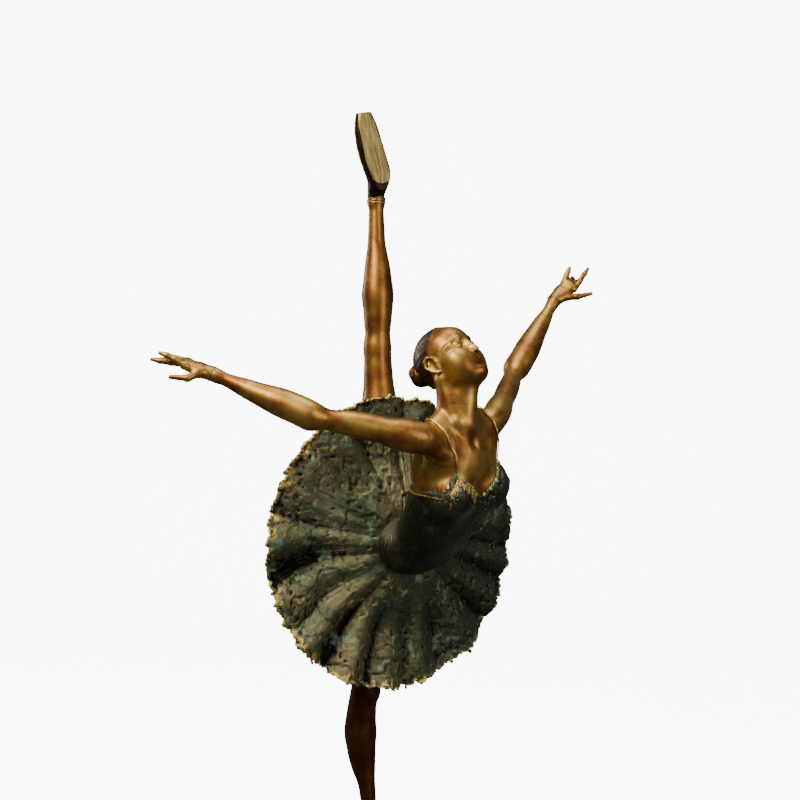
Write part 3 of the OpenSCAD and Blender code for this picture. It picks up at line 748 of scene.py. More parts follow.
def addLeg(clay, hip, knee, ankle, toe, back, bow):
    thigh = sideAxes(knee - hip, back)
    shin = sideAxes(ankle - knee, back)
    add(clay, bar(hip, knee, *legShape["thigh"]), 8)
    add(clay, egg(mix(hip, knee, 0.45) - thigh[0] * 2, (15.5, 14.6, 42), thigh), 8)
    add(clay, egg(mix(hip, knee, 0.5) + thigh[0] * 3, (12.6, 13, 40), thigh), 6)
    calf = mix(knee, ankle, 0.36) + shin[0] * bow
    upper, lower = legShape["shin"]
    path(clay, [knee, calf, ankle], (upper, upper, lower), 6)
    add(clay, egg(knee - shin[0] * 3.6, (7, 7.6, 9), shin), 4)
    add(clay, egg(calf + shin[0] * 2.6, legShape["calf"], shin), 11)
    foot, _ = shoeFrame(ankle, toe, back)
    add(clay, bar(ankle, ankle + vec(3.5, 2.2, ankleDepth) @ foot, 6.2, 7), 4)
    for s in (-1, 1):
        add(clay, egg(ankle + shin[1] * 4 * s - shin[2] * 1, (3.2, 2.6, 3.6), shin), 3)


def addFigure(clay, withFace=False):
    addTorso(clay)
    for side, (socket, _, flesh, slim) in armCuts.items():
        addArm(clay, socket, joint[side + "Elbow"], joint[side + "Wrist"], flesh, slim)
    addSkull(clay)
    addNeck(clay)
    if withFace:
        addFace(clay)
        addEars(clay)


print("shapes ready")


# skin castings, each cut from the clay where the real ones are joined
lap = 1.2     # the castings run this far past the joint, so that no gap shows


def finish(name, points, faces, material, slot, node, rounds=14):
    place(meshPiece(name, points, faces, material, wearOf(points, faces, rounds)), slot, node)


def skinCasting(name, block, cell, shapes, cuts, material=skinBronze, rounds=3):
    clay = clayBlock(*block, cell)
    shapes(clay)
    for point, normal in cuts:
        trim(clay, point, normal, lap)
    points, faces = fired(clay, rounds)
    wear = wearOf(points, faces)
    for point, normal in cuts:
        # the joints are chased flush, so their edges are not rubbed
        wear = wear * ramp(np.abs((points - point) @ unit(normal) - lap), 1, 5)
    place(meshPiece(name, points, faces, material, wear), "skin_bronze", name)
    return points, faces


fineCell = 0.42
bodyCell = 0.75

trunk = [spine(0), spine(0.5), collar, joint["rightShoulder"], joint["leftShoulder"], joint["neckTop"]]
torsoSkin = skinCasting(
    "torso", around(trunk, 36), bodyCell, addFigure,
    [(joint["rightShoulder"], rightArmRun), (joint["leftShoulder"], leftArmRun),
     (joint["neckTop"], neckRun), (spine(0), -out)],
)
skinCasting(
    "head", around([face(0, 0, 0), face(0, 0, headShape["height"])], 32), fineCell,
    lambda clay: addFigure(clay, True),
    [(joint["neckTop"], -neckRun), (joint["rightShoulder"] - rightArmRun * 14, -chestUp - chestSide)],
    rounds=2,
)

for side, (socket, run, flesh, _) in armCuts.items():
    shoulder, elbow, wrist = (joint[side + part] for part in ("Shoulder", "Elbow", "Wrist"))
    skinCasting(side + "_arm", around([shoulder, elbow, wrist], 14), bodyCell, addFigure,
                [(shoulder, -run), (wrist, unit(wrist - elbow))])

for side, (socket, run, flesh, _) in armCuts.items():
    elbow, wrist, tip = (joint[side + part] for part in ("Elbow", "Wrist", "Tip"))

    def handClay(clay):
        addArm(clay, socket, elbow, wrist, flesh)
        addHand(clay, wrist, handShape[side])

    skinCasting(side + "_hand", around([wrist, tip], 16), fineCell, handClay,
                [(wrist, -unit(wrist - elbow))], rounds=2)

legCuts = {
    # which joints, the toe, the way the calf faces, how far the calf bows, the bronze
    "standing": ("low", joint["toe"], -toeFront, 7, darkBronze),
    "raised": ("high", joint["highToe"], soleWay, 0, legBronze),
}
for side, (key, toe, back, bow, material) in legCuts.items():
    hip, knee, ankle = (joint[key + part] for part in ("Hip", "Knee", "Ankle"))
    deepHip = hip + unit(hip - knee) * 20
    foot = unit(toe - ankle)
    skinCasting(side + "_leg", around([hip, knee, ankle], 24), bodyCell,
                lambda clay: addLeg(clay, deepHip, knee, ankle, toe, back, bow),
                [(hip, unit(hip - knee)), (ankle + foot * ankleDepth, foot)], material)


# tutu: heavy cloth worked in wax with a palette knife
tutuShape = {
    "radius": 119, "rise": 17, "hole": 21, "thick": 3,
    "around": 800, "front": 88, "back": 10, "deepen": 1.15,
    # valleys: the way each runs from the waist in degrees (0 right, 90 up), depth at the rim,
    # width in degrees, and how much steeper its upper side is
    "valleys": [
        (-170, 11, 7.5, 0.7), (-149, 4.5, 6, 0.6), (-126, 10, 6.5, 0.6), (-103, 7, 6, 0.8), (-82, 4, 5, 1),
        (-62, 6, 6, 1.2), (-37, 6, 6, 1.3), (-17, 6, 6, 1.3), (-3, 4, 4, 1), (24, 5, 7, 1), (46, 4, 6, 1),
        (69, 5, 6, 1), (88, 4, 5, 1), (108, 5, 6, 1), (131, 3.5, 7, 1), (151, 2, 5, 0.8), (167, 5, 6, 0.5),
    ],
}


def onDisc(radius, angle, lift):
    spokes = np.outer(np.cos(angle), across) + np.outer(np.sin(angle), up)
    return joint["tutu"] + spokes * np.asarray(radius)[:, None] + np.outer(lift, out)


def skirtLift(share, angle, shape):
    # height over the disc: a cone up to the waist, less the valleys, which deepen to the rim
    lift = shape["rise"] * (1 - ramp(share, -0.1, 0.62))
    turn = np.degrees(angle)
    valley = 0 * angle
    drift = 4 * wobble(np.stack([share * 2.2, np.cos(angle) * 2, np.sin(angle) * 2], 1), 1, 5)
    for way, depth, width, steep in shape["valleys"]:
        off = (turn - way + drift + 180) % 360 - 180
        wide = np.where(off > 0, width * steep, width * 1.4)
        grown = depth * ramp(share, 0.0, 0.8) ** 0.7
        valley = valley + grown * np.exp(-(np.abs(off) / wide) ** 1.1)
        crest = np.exp(-(((off + width * 2) / (width * 0.9)) ** 2))
        lift = lift + 0.4 * grown * crest
    return lift - shape["deepen"] * valley, valley


def knifeMarks(points):
    # flat dabs of wax with broken edges, laid over each other, and small pits
    flat = 0.9 * ramp(wobble(points, 19, 1) + 0.3 * wobble(points, 5, 2), -0.04, 0.03)
    flat += 0.6 * ramp(wobble(points, 11, 3) + 0.3 * wobble(points, 3.4, 4), 0.0, 0.08)
    flat += 0.35 * ramp(wobble(points, 6, 6), 0.1, 0.24)
    cracks = ramp(ridges(points, 14, 9), 0.88, 0.97) * ramp(wobble(points, 17, 10), 0, 0.3)
    pits = ramp(wobble(points, 4.5, 7), 0.6, 0.7)
    return flat - 0.9 * pits - 0.45 * cracks + 0.12 * wobble(points, 2.6, 8)


def woven(bands, around, rows):
    # four-sided faces between closed rings of points
    row, column = np.meshgrid(np.arange(bands), np.arange(around), indexing="ij")
    after = (column + 1) % around
    below = (row + 1) % rows
    return np.stack([row * around + column, below * around + column, below * around + after,
                     row * around + after], -1).reshape(-1, 4)


def makeOverskirt(shape):
    around = shape["around"]
    turn = np.linspace(-math.pi, math.pi, around, endpoint=False)
    rings = [(s, 0.0) for s in np.linspace(0, 1, shape["front"])]
    rings += [(1, -shape["thick"] * 0.5)]
    rings += [(s, -shape["thick"]) for s in np.linspace(0.995, 0, shape["back"])]
    share = np.repeat([r[0] for r in rings], around)
    drop = np.repeat([r[1] for r in rings], around)
    angle = np.tile(turn, len(rings))
    ragged = 1.6 * wobble(np.stack([np.cos(angle), np.sin(angle), 0 * angle], 1) * 18, 1, 11)
    ragged += 1.5 * wobble(np.stack([np.cos(angle), np.sin(angle), 0 * angle], 1) * 55, 1, 12)
    rim = shape["radius"] + ragged
    lift, valley = skirtLift(share, angle, shape)
    # the valleys pull the rim in a little
    rim = rim + 0.35 * (lift - 2) * ramp(share, 0.6, 1)
    points = onDisc(shape["hole"] + share * (rim - shape["hole"]), angle, lift)
    marks = knifeMarks(points) * ramp(share, 0.0, 0.12)
    front = drop == 0
    marks = np.where(front, marks, 0.3 * marks)
    lip = 1.6 * ramp(share, 0.955, 1) * (0.6 + wobble(points, 3, 13)) * front
    points = points + np.outer(marks + lip + drop * (1 - 0.3 * ramp(share, 0.9, 1)), out)
    count = len(rings)
    faces = woven(count, around, count)
    p = points[faces[:, :3]]
    if np.einsum("ij,ij->i", p[:, 0], np.cross(p[:, 1] - p[:, 0], p[:, 2] - p[:, 0])).sum() < 0:
        faces = faces[:, ::-1]
    wear = wearOf(points, faces, 9)
    # the rim is rubbed bright in patches, and made brightest towards the lower left, on the side the key
    # light falls on: that weighting is a painted highlight
    keyLitRim = 0.5 + 0.5 * np.cos(angle - math.radians(200))
    wear = wear + ramp(share, 0.87, 0.98) * keyLitRim * (0.45 + 1.7 * wobble(points, 5, 14)) * front
    # the floors of the valleys are pushed towards the deep colour: painted shade in the folds
    wear = wear - 0.1 * np.maximum(valley - 2, 0) * ramp(share, 0.1, 0.4)
    place(meshPiece("overskirt", points, faces, skirtBronze, wear), "skirt_bronze", "overskirt")
    return points[(share == 1) & front]


rimLine = makeOverskirt(tutuShape)


# small geometry-node trees, for what repeats and what follows a line
def newTree(name, inputs):
    tree = bpy.data.node_groups.new(name, "GeometryNodeTree")
    tree.interface.new_socket("Geometry", in_out="INPUT", socket_type="NodeSocketGeometry")
    sockets = {}
    for label, kind in inputs.items():
        sockets[label] = tree.interface.new_socket(label, in_out="INPUT", socket_type=kind).identifier
    tree.interface.new_socket("Geometry", in_out="OUTPUT", socket_type="NodeSocketGeometry")
    return tree, sockets, addNode(tree, "NodeGroupInput").outputs


def baked(name, tree, sockets, values, start, material):
    # runs the tree on a start mesh and returns the plain mesh object
    holder = bpy.data.objects.new(name + "Start", start)
    bpy.context.scene.collection.objects.link(holder)
    modifier = holder.modifiers.new("grow", "NODES")
    modifier.node_group = tree
    for label, value in values.items():
        modifier[sockets[label]] = value
    modifier[sockets["Material"]] = material
    graph = bpy.context.evaluated_depsgraph_get()
    mesh = bpy.data.meshes.new_from_object(holder.evaluated_get(graph))
    bpy.data.objects.remove(holder)
    mesh.name = name
    mesh.shade_smooth()
    if not mesh.materials:
        mesh.materials.append(material)
    points = np.zeros(len(mesh.vertices) * 3, np.float32)
    mesh.vertices.foreach_get("co", points)
    points = points.reshape(-1, 3).astype(float) / mm
    lit = wobble(points, 2.5, 21) * 0.12 + 0.16
    mesh.attributes.new("wear", "FLOAT", "POINT").data.foreach_set("value", lit.astype(np.float32))
    piece = bpy.data.objects.new(name, mesh)
    bpy.context.scene.collection.objects.link(piece)
    return piece


def cordTree():
    tree, sockets, given = newTree("cordAlongLine", {
        "Radius": "NodeSocketFloat", "Sides": "NodeSocketInt", "Material": "NodeSocketMaterial"})
    curve = addNode(tree, "GeometryNodeMeshToCurve", {"Mesh": given["Geometry"]})
    ring = addNode(tree, "GeometryNodeCurvePrimitiveCircle", {
        "Resolution": given["Sides"], "Radius": given["Radius"]})
    tube = addNode(tree, "GeometryNodeCurveToMesh", {
        "Fill Caps": True, "Curve": curve.outputs[0], "Profile Curve": ring.outputs[0]})
    plain = addNode(tree, "GeometryNodeRealizeInstances", {"Geometry": tube.outputs[0]})
    painted = addNode(tree, "GeometryNodeSetMaterial", {
        "Geometry": plain.outputs[0], "Material": given["Material"]})
    addNode(tree, "NodeGroupOutput", {0: painted.outputs[0]})
    return tree, sockets


def dabTree():
    # ragged beads at the given points, turned and sized at random
    tree, sockets, given = newTree("dabsOnPoints", {
        "Size": "NodeSocketFloat", "Flatness": "NodeSocketFloat", "Seed": "NodeSocketInt",
        "Material": "NodeSocketMaterial"})
    ball = addNode(tree, "GeometryNodeMeshIcoSphere", {"Subdivisions": 2, "Radius": given["Size"]})
    bumps = addNode(tree, "ShaderNodeTexNoise", {"Scale": 900.0, "Detail": 1.0})
    normal = addNode(tree, "GeometryNodeInputNormal")
    push = addNode(tree, "ShaderNodeVectorMath", {
        0: normal.outputs[0], 1: bumps.outputs["Color"]}, operation="MULTIPLY")
    depth = addNode(tree, "ShaderNodeMath", {1: 0.7, 0: given["Size"]}, operation="MULTIPLY")
    small = addNode(tree, "ShaderNodeVectorMath", {
        0: push.outputs[0], "Scale": depth.outputs[0]}, operation="SCALE")
    rough = addNode(tree, "GeometryNodeSetPosition", {
        "Geometry": ball.outputs[0], "Offset": small.outputs[0]})
    flat = addNode(tree, "ShaderNodeCombineXYZ", {"X": 1.0, "Y": 1.0, "Z": given["Flatness"]})
    pressed = addNode(tree, "GeometryNodeTransform", {
        "Geometry": rough.outputs[0], "Scale": flat.outputs[0]})
    spots = addNode(tree, "GeometryNodeMeshToPoints", {"Mesh": given["Geometry"]})
    turn = addNode(tree, "FunctionNodeRandomValue", {
        "Max": (6.28, 6.28, 6.28), "Seed": given["Seed"]}, data_type="FLOAT_VECTOR")
    size = addNode(tree, "FunctionNodeRandomValue", {
        "Min": 0.5, "Max": 1.5, "Seed": given["Seed"]}, data_type="FLOAT")
    strewn = addNode(tree, "GeometryNodeInstanceOnPoints", {
        "Points": spots.outputs[0], "Instance": pressed.outputs[0], "Rotation": turn.outputs[0],
        "Scale": size.outputs[1]})
    plain = addNode(tree, "GeometryNodeRealizeInstances", {"Geometry": strewn.outputs[0]})
    painted = addNode(tree, "GeometryNodeSetMaterial", {
        "Geometry": plain.outputs[0], "Material": given["Material"]})
    addNode(tree, "NodeGroupOutput", {0: painted.outputs[0]})
    return tree, sockets


cords = cordTree()
dabs = dabTree()


def linesMesh(lines, closed=False):
    mesh = bpy.data.meshes.new("lines")
    points, edges = [], []
    for line in lines:
        first = len(points)
        points += [tuple(p * mm) for p in line]
        edges += [(first + i, first + i + 1) for i in range(len(line) - 1)]
        if closed:
            edges.append((len(points) - 1, first))
    mesh.from_pydata(points, edges, [])
    return mesh


def makeCords(name, lines, radius, material, node, closed=False):
    piece = baked(name, *cords, {"Radius": radius * mm, "Sides": 10}, linesMesh(lines, closed), material)
    place(piece, "gold_bronze", node)


def makeDabs(name, spots, size, flatness, seed, material, slot, node):
    mesh = bpy.data.meshes.new("spots")
    mesh.from_pydata([tuple(p * mm) for p in spots], [], [])
    piece = baked(name, *dabs, {"Size": size * mm, "Flatness": flatness, "Seed": seed}, mesh, material)
    place(piece, slot, node)


chance = np.random.default_rng(7)
heldSide = 0.5 - 0.5 * (rimLine - joint["tutu"]) @ unit(across + 0.4 * up) / tutuShape["radius"]
lowRim = rimLine[chance.random(len(rimLine)) < 0.42 * heldSide]
makeDabs("rim_dabs", lowRim + chance.normal(0, 0.5, lowRim.shape), 0.95, 0.5, 3, skirtBronze,
         "skirt_bronze", "overskirt")


# the underskirt follows the folds of the tutu, with finer pleats of its own
underShape = {
    "radius": 108, "thick": 2.4, "around": 520, "rows": 36,
    "drop": 5.5,       # how far it lies behind the overskirt
    "pleats": 46, "depth": 1.2, "seed": 4,
    "reach": 0.92,     # the share of the overskirt's folds that it follows
}


def makeUnderskirt(shape):
    around, rows = shape["around"], shape["rows"]
    tree, sockets, given = newTree("pleatedDisc", {
        "Drop": "NodeSocketFloat", "Thickness": "NodeSocketFloat", "Pleats": "NodeSocketInt",
        "Depth": "NodeSocketFloat", "Seed": "NodeSocketInt", "Material": "NodeSocketMaterial"})
    # pleats: a wave round the disc, pushed along the disc's own axis
    angle = addNode(tree, "GeometryNodeInputNamedAttribute", {"Name": "angle"}, data_type="FLOAT")
    share = addNode(tree, "GeometryNodeInputNamedAttribute", {"Name": "share"}, data_type="FLOAT")
    turns = addNode(tree, "ShaderNodeMath", {0: angle.outputs[0], 1: given["Pleats"]}, operation="MULTIPLY")
    uneven = addNode(tree, "ShaderNodeTexNoise", {
        "Scale": 40.0, "Detail": 2.0, "W": given["Seed"]}, noise_dimensions="4D")
    shifted = addNode(tree, "ShaderNodeMath", {
        1: 9.0, 0: uneven.outputs[0], 2: turns.outputs[0]}, operation="MULTIPLY_ADD")
    wave = addNode(tree, "ShaderNodeMath", {0: shifted.outputs[0]}, operation="SINE")
    height = addNode(tree, "ShaderNodeMath", {
        0: wave.outputs[0], 1: share.outputs[0]}, operation="MULTIPLY")
    deep = addNode(tree, "ShaderNodeMath", {0: height.outputs[0], 1: given["Depth"]}, operation="MULTIPLY")
    lowered = addNode(tree, "ShaderNodeMath", {0: deep.outputs[0], 1: given["Drop"]}, operation="SUBTRACT")
    offset = addNode(tree, "ShaderNodeVectorMath", {
        0: tuple(out), "Scale": lowered.outputs[0]}, operation="SCALE")
    moved = addNode(tree, "GeometryNodeSetPosition", {
        "Geometry": given["Geometry"], "Offset": offset.outputs[0]})
    thick = addNode(tree, "GeometryNodeExtrudeMesh", {
        "Offset": tuple(-out), "Individual": False, "Mesh": moved.outputs[0],
        "Offset Scale": given["Thickness"]})
    turned = addNode(tree, "GeometryNodeFlipFaces", {"Mesh": moved.outputs[0]})
    both = addNode(tree, "GeometryNodeJoinGeometry")
    tree.links.new(turned.outputs[0], both.inputs[0])
    tree.links.new(thick.outputs[0], both.inputs[0])
    welded = addNode(tree, "GeometryNodeMergeByDistance", {
        "Distance": 0.00002, "Geometry": both.outputs[0]})
    plain = addNode(tree, "GeometryNodeRealizeInstances", {"Geometry": welded.outputs[0]})
    painted = addNode(tree, "GeometryNodeSetMaterial", {
        "Geometry": plain.outputs[0], "Material": given["Material"]})
    addNode(tree, "NodeGroupOutput", {0: painted.outputs[0]})

    turn = np.tile(np.linspace(-math.pi, math.pi, around, endpoint=False), rows)
    part = np.repeat(np.linspace(0, 1, rows), around)
    lift, _ = skirtLift(part * shape["reach"], turn, tutuShape)
    points = onDisc(mix(tutuShape["hole"], shape["radius"], part), turn, lift)
    faces = woven(rows - 1, around, rows)
    start = bpy.data.meshes.new("disc")
    start.from_pydata((points * mm).tolist(), [], faces.tolist())
    start.attributes.new("angle", "FLOAT", "POINT").data.foreach_set("value", turn.astype(np.float32))
    start.attributes.new("share", "FLOAT", "POINT").data.foreach_set("value", part.astype(np.float32))
    values = {"Drop": shape["drop"] * mm, "Thickness": shape["thick"] * mm, "Pleats": shape["pleats"],
              "Depth": shape["depth"] * mm, "Seed": shape["seed"]}
    place(baked("underskirt", tree, sockets, values, start, skirtBronze), "skirt_bronze", "underskirt")


makeUnderskirt(underShape)


# bodice: a skin of bronze over the torso, from the waist to the neckline
bodiceShape = {
    "thick": 1.3,
    "gather": 4,       # from one gather at the waist to the next
    # neckline: distance from the middle, height under the collar bones
    "neckline": [(0, -46), (4, -44), (13, -36), (22, -26), (25, -26.5), (31, -37), (40, -45.5)],
    "middle": 3.5,
    "backEdge": -46.5,
}


def chestPlace(x, y, z):
    return [onward(x, y, z, collar, way) for way in (chestSide, chestUp, chestFront)]


def necklineAt(side, depth):
    spots, heights = zip(*bodiceShape["neckline"])
    front = np.interp(np.abs(side - bodiceShape["middle"]), spots, heights)
    return bodiceShape["backEdge"] + (front - bodiceShape["backEdge"]) * ramp(depth, -6, 4)


block = around([spine(0), spine(0.5), chest(-30, -25, 10), chest(30, -25, 10)], 38)
clay = clayBlock(*block, 0.6)
addFigure(clay)
clay["field"] -= bodiceShape["thick"]
side, height, depth = chestPlace(*grid(clay))
shave(clay, (height - necklineAt(side, depth)) * 0.75)
trim(clay, spine(0) + out * 2, -out)
points, faces = fired(clay, 2)
aside, rise, run = ((points - joint["waist"]) @ np.array([across, up, out]).T).T
side, height, depth = chestPlace(*points.T)
flank = ramp(-aside, -6, 14)
gathers = np.sin((run + 0.22 * rise + 2.2 * wobble(points, 16, 31)) * 2 * math.pi / bodiceShape["gather"])
folds = 0.7 * gathers * flank * (1 - ramp(run, 16, 34))
rough = knifeMarks(points) * 0.6 * ramp(side, -12, 10) + 0.3 * wobble(points, 2.6, 32)
nearEdge = ramp(height - necklineAt(side, depth), -15, -6) * ramp(depth, 0, 8)
lacy = 0.7 * ramp(wobble(points, 3, 34), 0, 0.3) * nearEdge
points = pushed(points, faces, folds + rough * (1 - flank) * ramp(run, 2, 8) + lacy)
finish("bodice", points, faces, bodiceBronze, "bodice_bronze", "bodice", 8)

# the sash: a gathered band round the waist where the bodice meets the tutu
sashShape = {"wide": 27.9, "oval": 0.77, "reach": 6.5, "fold": 3.2, "depth": 0.5}
clay = clayBlock(*around([spine(0)], 36), 0.6)
for step in np.linspace(-1, 1, 9):
    wide = sashShape["wide"] + 0.5 * math.cos(step * 9)
    add(clay, egg(joint["waist"] + out * step * sashShape["reach"], (wide, wide * sashShape["oval"], 5),
                  np.array([across, up, out])), 3)
points, faces = fired(clay, 2)
aside, rise, run = ((points - joint["waist"]) @ np.array([across, up, out]).T).T
angle = np.arctan2(rise, aside)
wave = run + 1.6 * np.sin(angle * 2) + 2 * wobble(points, 14, 33)
points = pushed(points, faces, sashShape["depth"] * np.sin(wave * 2 * math.pi / sashShape["fold"]))
finish("waist_sash", points, faces, bodiceBronze, "bodice_bronze", "waist_sash", 8)


# cords of the neckline, laid on the surface
skinTree = BVHTree.FromPolygons(torsoSkin[0].tolist(), torsoSkin[1].tolist())


def smoothLine(corners, step=0.8):
    # an even line through the corners, rounded at each of them
    corners = np.array(corners)
    ends = np.concatenate([corners[:1] * 2 - corners[1:2], corners, corners[-1:] * 2 - corners[-2:-1]])
    line = []
    for a, b, c, d in zip(ends, ends[1:], ends[2:], ends[3:]):
        for t in np.linspace(0, 1, max(2, int(np.linalg.norm(c - b) / step)), endpoint=False):
            line.append(0.5 * (2 * b + (c - a) * t + (2 * a - 5 * b + 4 * c - d) * t * t
                               + (3 * b - a - 3 * c + d) * t ** 3))
    line.append(corners[-1])
    return line


def onSkin(point, lift):
    spot, normal, _, _ = skinTree.find_nearest(Vector(point))
    return np.array(spot) + np.array(normal) * lift


def cordOnSkin(corners, lift):
    line = [onSkin(p, lift) for p in smoothLine([chest(*c) for c in corners])]
    for _ in range(3):
        line[1:-1] = [(a + 2 * b + c) / 4 for a, b, c in zip(line, line[1:], line[2:])]
    return line


cordShape = {"strap": 0.48, "lace": 0.33, "edge": 0.45}
peaks = {
    # from the cup's peak over the shoulder to the back edge: side, height, depth
    "right": [(-21.5, -26, 24), (-20.5, -14, 20), (-22.5, -2, 14), (-24.5, 8, 2), (-24, 6, -14),
              (-14, -20, -22), (-8, -47, -26)],
    "left": [(29.5, -26, 21), (30, -14, 16), (29, -2, 10), (27, 8, 1), (22, 6, -14),
             (12, -20, -22), (8, -47, -26)],
}
for side, corners in peaks.items():
    # the second cord starts lower on the cup and joins the first on the shoulder
    peakSide, peakHeight, _ = corners[0]
    second = [(peakSide + (5 if side == "right" else -5), peakHeight - 9, 24),
              (peakSide * 0.96, peakHeight + 2, 23), *[(s * 0.97, h, d) for s, h, d in corners[1:4]]]
    makeCords(side + "_strap", [cordOnSkin(corners, 0.9), cordOnSkin(second, 1.2)], cordShape["strap"],
              goldBronze, side + "_strap")


def necklinePoint(side, lower=0.0):
    spots, heights = zip(*bodiceShape["neckline"])
    return (side, np.interp(abs(side - bodiceShape["middle"]), spots, heights) - lower, 24)


backLine = [necklinePoint(-32), (-40, -46, 4), (-36, -47, -10)]
backLine += [(s, bodiceShape["backEdge"], -24) for s in (-26, -12, 0, 12, 26)]
backLine += [(36, -47, -10), (40, -46, 4), necklinePoint(32)]
makeCords("back_cord", [cordOnSkin(backLine, 1.3)], cordShape["edge"], goldBronze, "back_cord")

# lace: cords that wander back and forth over the cups, with beads between
laceLines = []
beads = []
for sign in (-1, 1):
    for lower, sway, waves in ((0.8, 0.8, 7), (3.4, 1.8, 11), (6.4, 2.3, 9), (9.2, 2.4, 12)):
        reach = np.linspace(3, 32, 60)
        line = [necklinePoint(bodiceShape["middle"] + sign * s, lower + sway * math.sin(s * waves / 5))
                for s in reach]
        laceLines.append([onSkin(chest(*p), 1.6) for p in line])
    for _ in range(260):
        s, lower = chance.uniform(1, 33), abs(chance.normal(0, 4.5))
        beads.append(onSkin(chest(*necklinePoint(bodiceShape["middle"] + sign * s, lower)), 1.5))
makeCords("lace_cords", laceLines, cordShape["lace"], goldBronze, "lace_trim")
makeDabs("lace_beads", beads, 0.5, 0.6, 5, laceBronze, "gold_bronze", "lace_trim")


# hair, combed back to a bun
bunSpot = middle(cadPoints("hair_bun"))
hairPole = unit(bunSpot - face(0, -3, 33))
poleSide = unit(np.cross(hairPole, headSide))
hairShape = {
    "thick": 0.75, "strands": 120, "groove": 0.24,
    # the hairline as two planes: a point (forward, height) and the way (forward, height) to the bare side
    "lines": [((10, 52), (0.84, -0.54)), ((-1, 30), (0.66, -0.75))],
}


def strands(points):
    # grooves that run from the hairline to the bun
    offset = points - face(0, -3, 33)
    turn = np.arctan2(offset @ headSide, offset @ poleSide)
    rim = np.stack([np.cos(turn), np.sin(turn), 0 * turn], 1)
    coarse = wobble(rim * hairShape["strands"] / 6.28, 1, 41)
    return hairShape["groove"] * (0.6 * coarse + 0.5 * wobble(rim * hairShape["strands"] / 2.2, 1, 42))


clay = clayBlock(*around([face(0, 0, 14), face(0, -2, headShape["height"])], 30), fineCell)
addSkull(clay)
clay["field"] -= hairShape["thick"]
forward, height = (onward(*grid(clay), skullBase, way) for way in (faceOut, headUp))
for (lineForward, lineHeight), (wayForward, wayHeight) in hairShape["lines"]:
    bare = (forward - lineForward) * wayForward + (height - lineHeight) * wayHeight
    # a tenth of the slope lets the hair thin out to the skin instead of ending in a step
    shave(clay, bare * 0.1)
points, faces = fired(clay, 2)
finish("hair", pushed(points, faces, strands(points)), faces, hairBronze, "hair_bronze", "hair", 5)

bunAxes = sideAxes(hairPole, headSide)
clay = clayBlock(*around([bunSpot], 18), fineCell)
add(clay, egg(bunSpot, (10.5, 10, 7.5), bunAxes), 0)
add(clay, egg(bunSpot - hairPole * 5, (8, 8, 6), bunAxes), 3)
points, faces = fired(clay, 2)
offset = (points - bunSpot) @ bunAxes.T
swirl = np.arctan2(offset[:, 1], offset[:, 0]) * 2 + np.hypot(offset[:, 0], offset[:, 1]) * 0.9
fine = wobble(np.stack([swirl * 2, offset[:, 2] * 0.8, offset[:, 2] * 0], 1), 1, 44)
points = pushed(points, faces, 0.45 * np.sin(swirl) + 0.3 * fine)
finish("hair_bun", points, faces, hairBronze, "hair_bronze", "hair_bun", 6)


# shoes and ribbons
shoeShape = {
    # share of the way from the ankle to the toe; then how far the middle lies towards the sole and to
    # the side, half the width and half the depth
    "sections": [(0.03, 0, 0, 6.4, 6.8), (0.1, 0.8, 0.6, 6.9, 7.3), (0.16, 3, 1.6, 8, 9),
                 (0.24, 4.6, 3, 9.2, 9.8), (0.34, 3.8, 3.2, 11.2, 9.4), (0.48, 2, 2, 11.8, 8.4),
                 (0.63, 0.9, 0.9, 11.8, 7.4), (0.77, 0.3, 0.5, 11, 6.4), (0.88, 0, 0.3, 9, 5.6),
                 (0.95, 0, 0, 7, 5), (1, 0, 0, 4.6, 4.4)],
    # share of the way, and how deep the flat of the sole lies there
    "soleAt": [(0.2, 11), (0.34, 9.6), (0.6, 6.2), (1, 3.4)],
    "heel": 11.2,          # radius of the sole's round end
    "toeDrop": 1.6,        # the toe box ends this far short of the CAD's tip
    "soleThick": 0.9,
}


def shoeClay(clay, ankle, axes, reach, grow=0.0):
    columns = list(zip(*shoeShape["sections"]))
    for share in np.linspace(columns[0][0], columns[0][-1], 26):
        down, aside, wide, deep = (np.interp(share, columns[0], column) for column in columns[1:])
        centre = ankle + axes[0] * down + axes[1] * aside + axes[2] * share * reach
        add(clay, egg(centre, (deep + grow, wide + grow, 6 + grow), axes), 2)


